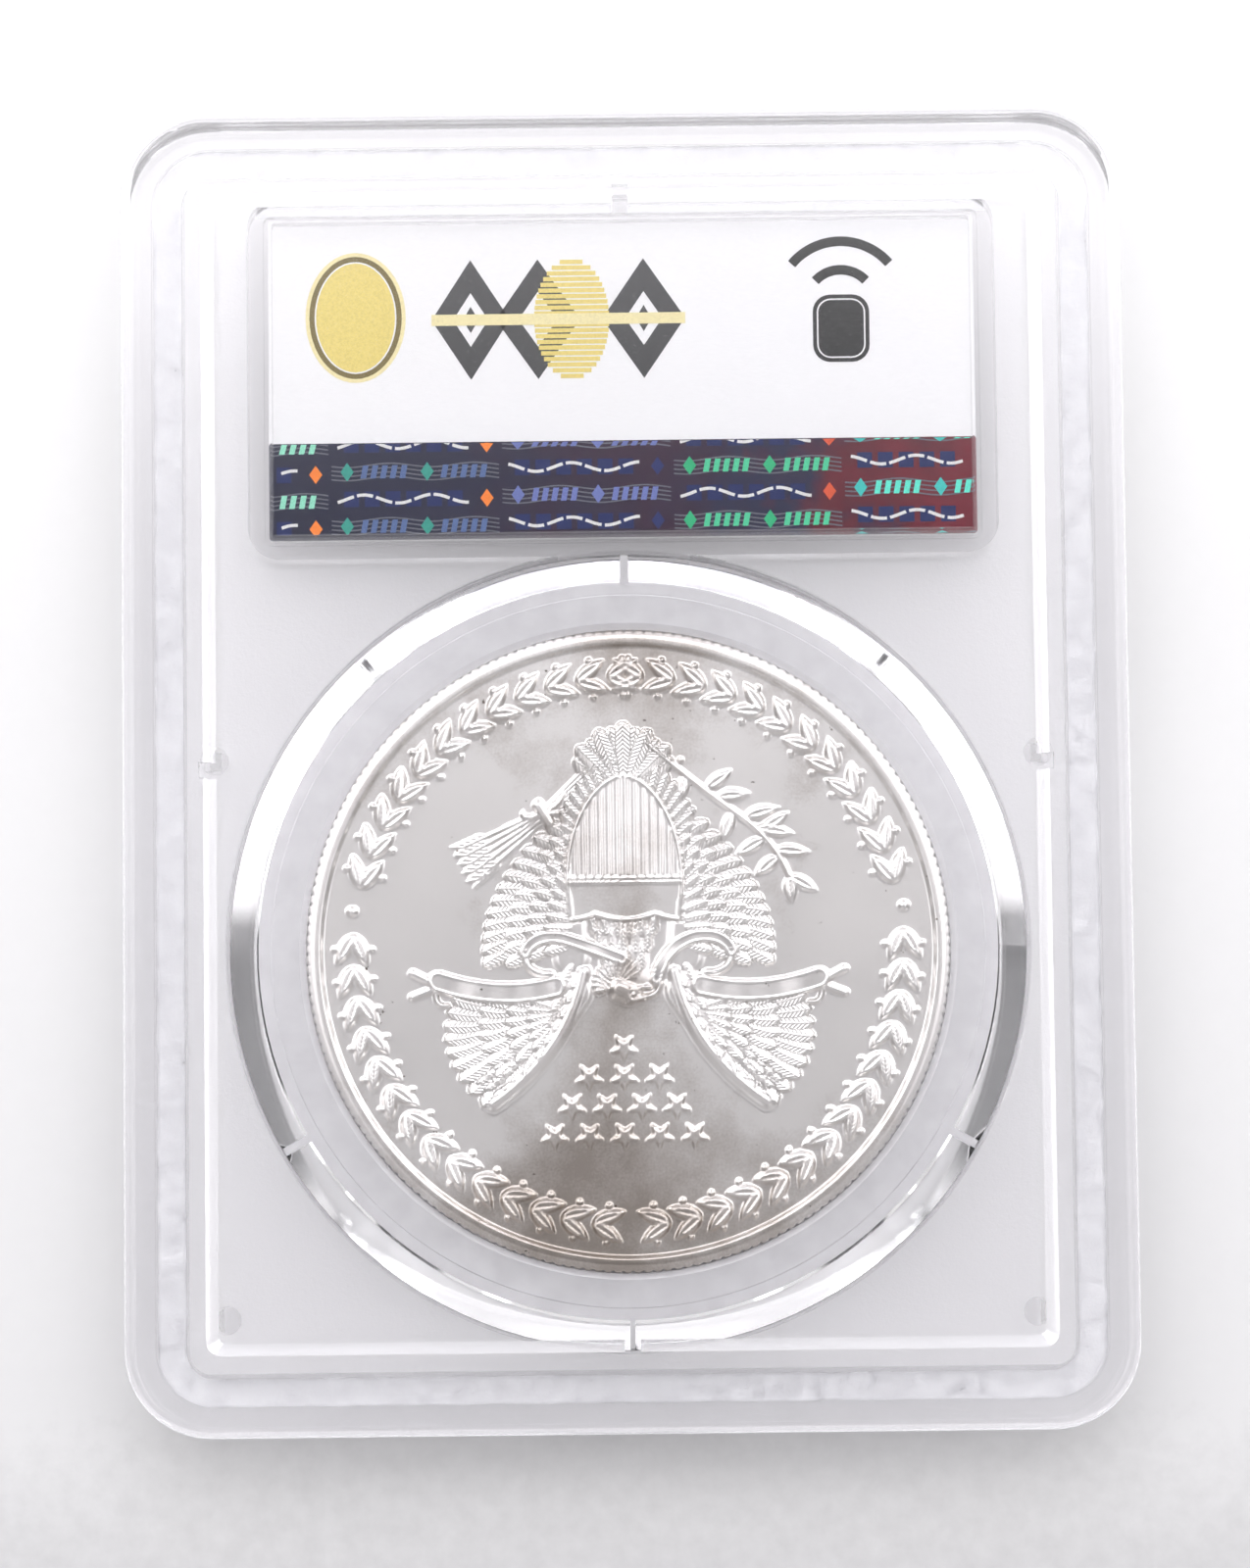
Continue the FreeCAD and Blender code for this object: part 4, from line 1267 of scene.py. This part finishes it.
def make_world():
    """White tent with a dim opening overhead and dim gaps low on the left and right."""
    world = bpy.data.worlds.new("studio")
    bpy.context.scene.world = world
    world.use_nodes = True
    graph = Graph(world.node_tree)
    way = graph.add("ShaderNodeTexCoord").outputs["Generated"]
    y, z = graph.add("ShaderNodeSeparateXYZ", {0: way}).outputs[1:]
    roof = graph.span(y, -0.15, 0.30, *ROOF_LIGHT)
    low_wall = graph.span(y, -0.5, 0.5, *LOW_WALL_LIGHT)
    wall = graph.blend(graph.span(z, 0.20, 0.34, 0.0, 1.0), low_wall, WALL_LIGHT)
    tent = graph.blend(graph.span(z, 0.5, 0.75, 0.0, 1.0), wall, roof)
    lean = math.radians(OPENING_LEAN)
    overhead = graph.vector_math("DOT_PRODUCT", way, (0.0, -math.sin(lean), math.cos(lean)))
    dark, lit = (math.cos(math.radians(edge)) for edge in OPENING_EDGE)
    light = graph.times(tent, graph.span(overhead, lit, dark, 1.0, OPENING_SHARE))
    for azimuth, width, share in GAPS:
        toward = graph.vector_math("DOT_PRODUCT", way, (*polar(1.0, azimuth), 0.0))
        inner, outer = (math.cos(math.radians(width + soft)) for soft in (-GAP_EDGE, GAP_EDGE))
        light = graph.times(light, graph.span(toward, outer, inner, 1.0, share))
    tone = graph.add("ShaderNodeMix", {
        "Factor": graph.span(y, 0.3, 0.9, 0.0, 1.0), 6: (1.0, 0.99, 1.0, 1.0),
        7: (0.96, 0.965, 1.02, 1.0)}, data_type="RGBA")
    studio = graph.add("ShaderNodeBackground", {"Color": tone.outputs[2], "Strength": light})
    pale = graph.add("ShaderNodeBackground", {"Color": (0.82, 0.82, 0.84, 1)})
    seen = graph.add("ShaderNodeLightPath").outputs["Is Camera Ray"]
    shown = graph.add("ShaderNodeMixShader", {
        0: seen, 1: studio.outputs[0], 2: pale.outputs[0]})
    graph.add("ShaderNodeOutputWorld", {"Surface": shown.outputs[0]})


SOFTBOXES = (
    # name, azimuth and elevation in degrees, distance, width and height, power in watts
    ("softbox_left", 136, 9, 0.38, (0.33, 0.1), 0.84),
    ("softbox_right", 44, 9, 0.38, (0.33, 0.1), 0.84),
    ("fill_left", 234, 8, 0.7, (0.09, 0.2), 0.2),
    ("fill_right", 306, 8, 0.7, (0.09, 0.2), 0.2))


def make_softbox(name, azimuth, elevation, distance, size, power):
    """Oblong lamp that faces the slab."""
    data = bpy.data.lights.new(name, "AREA")
    data.shape = "RECTANGLE"
    data.size, data.size_y = size
    data.energy = power
    lamp = bpy.data.objects.new(name, data)
    reach, rise = polar(distance, elevation)
    lamp.location = Vector((*polar(reach, azimuth), rise))
    lamp.rotation_euler = lamp.location.to_track_quat("Z", "Y").to_euler()
    bpy.context.scene.collection.objects.link(lamp)


CAMERA_DISTANCE = 0.381
CAMERA_TILT = math.radians(5.44)
CAMERA_ROLL = math.radians(0.67)
CAMERA_LENS, SENSOR_WIDTH = 136.2, 36.0
CAMERA_AIM = Vector((-0.09, -0.45, 0)) * MM
BOUNCES, CLEAR_BOUNCES = 24, 32  # enough for light to get out of the clear shells


def make_camera():
    """Camera over the slab, leaning a little towards the coin end."""
    data = bpy.data.cameras.new("camera")
    data.lens = CAMERA_LENS
    data.sensor_width = SENSOR_WIDTH
    camera = bpy.data.objects.new("camera", data)
    lean = Matrix.Rotation(CAMERA_ROLL, 4, "Z") @ Matrix.Rotation(-CAMERA_TILT, 4, "X")
    lift = Matrix.Translation((0, 0, CAMERA_DISTANCE))
    camera.matrix_world = Matrix.Translation(CAMERA_AIM) @ lean.inverted() @ lift
    bpy.context.scene.collection.objects.link(camera)
    bpy.context.scene.camera = camera


make_floor()
make_world()
for softbox in SOFTBOXES:
    make_softbox(*softbox)
make_camera()
scene = bpy.context.scene
scene.view_settings.view_transform = "Standard"
scene.cycles.transparent_max_bounces = CLEAR_BOUNCES
scene.cycles.transmission_bounces = BOUNCES
scene.cycles.max_bounces = BOUNCES
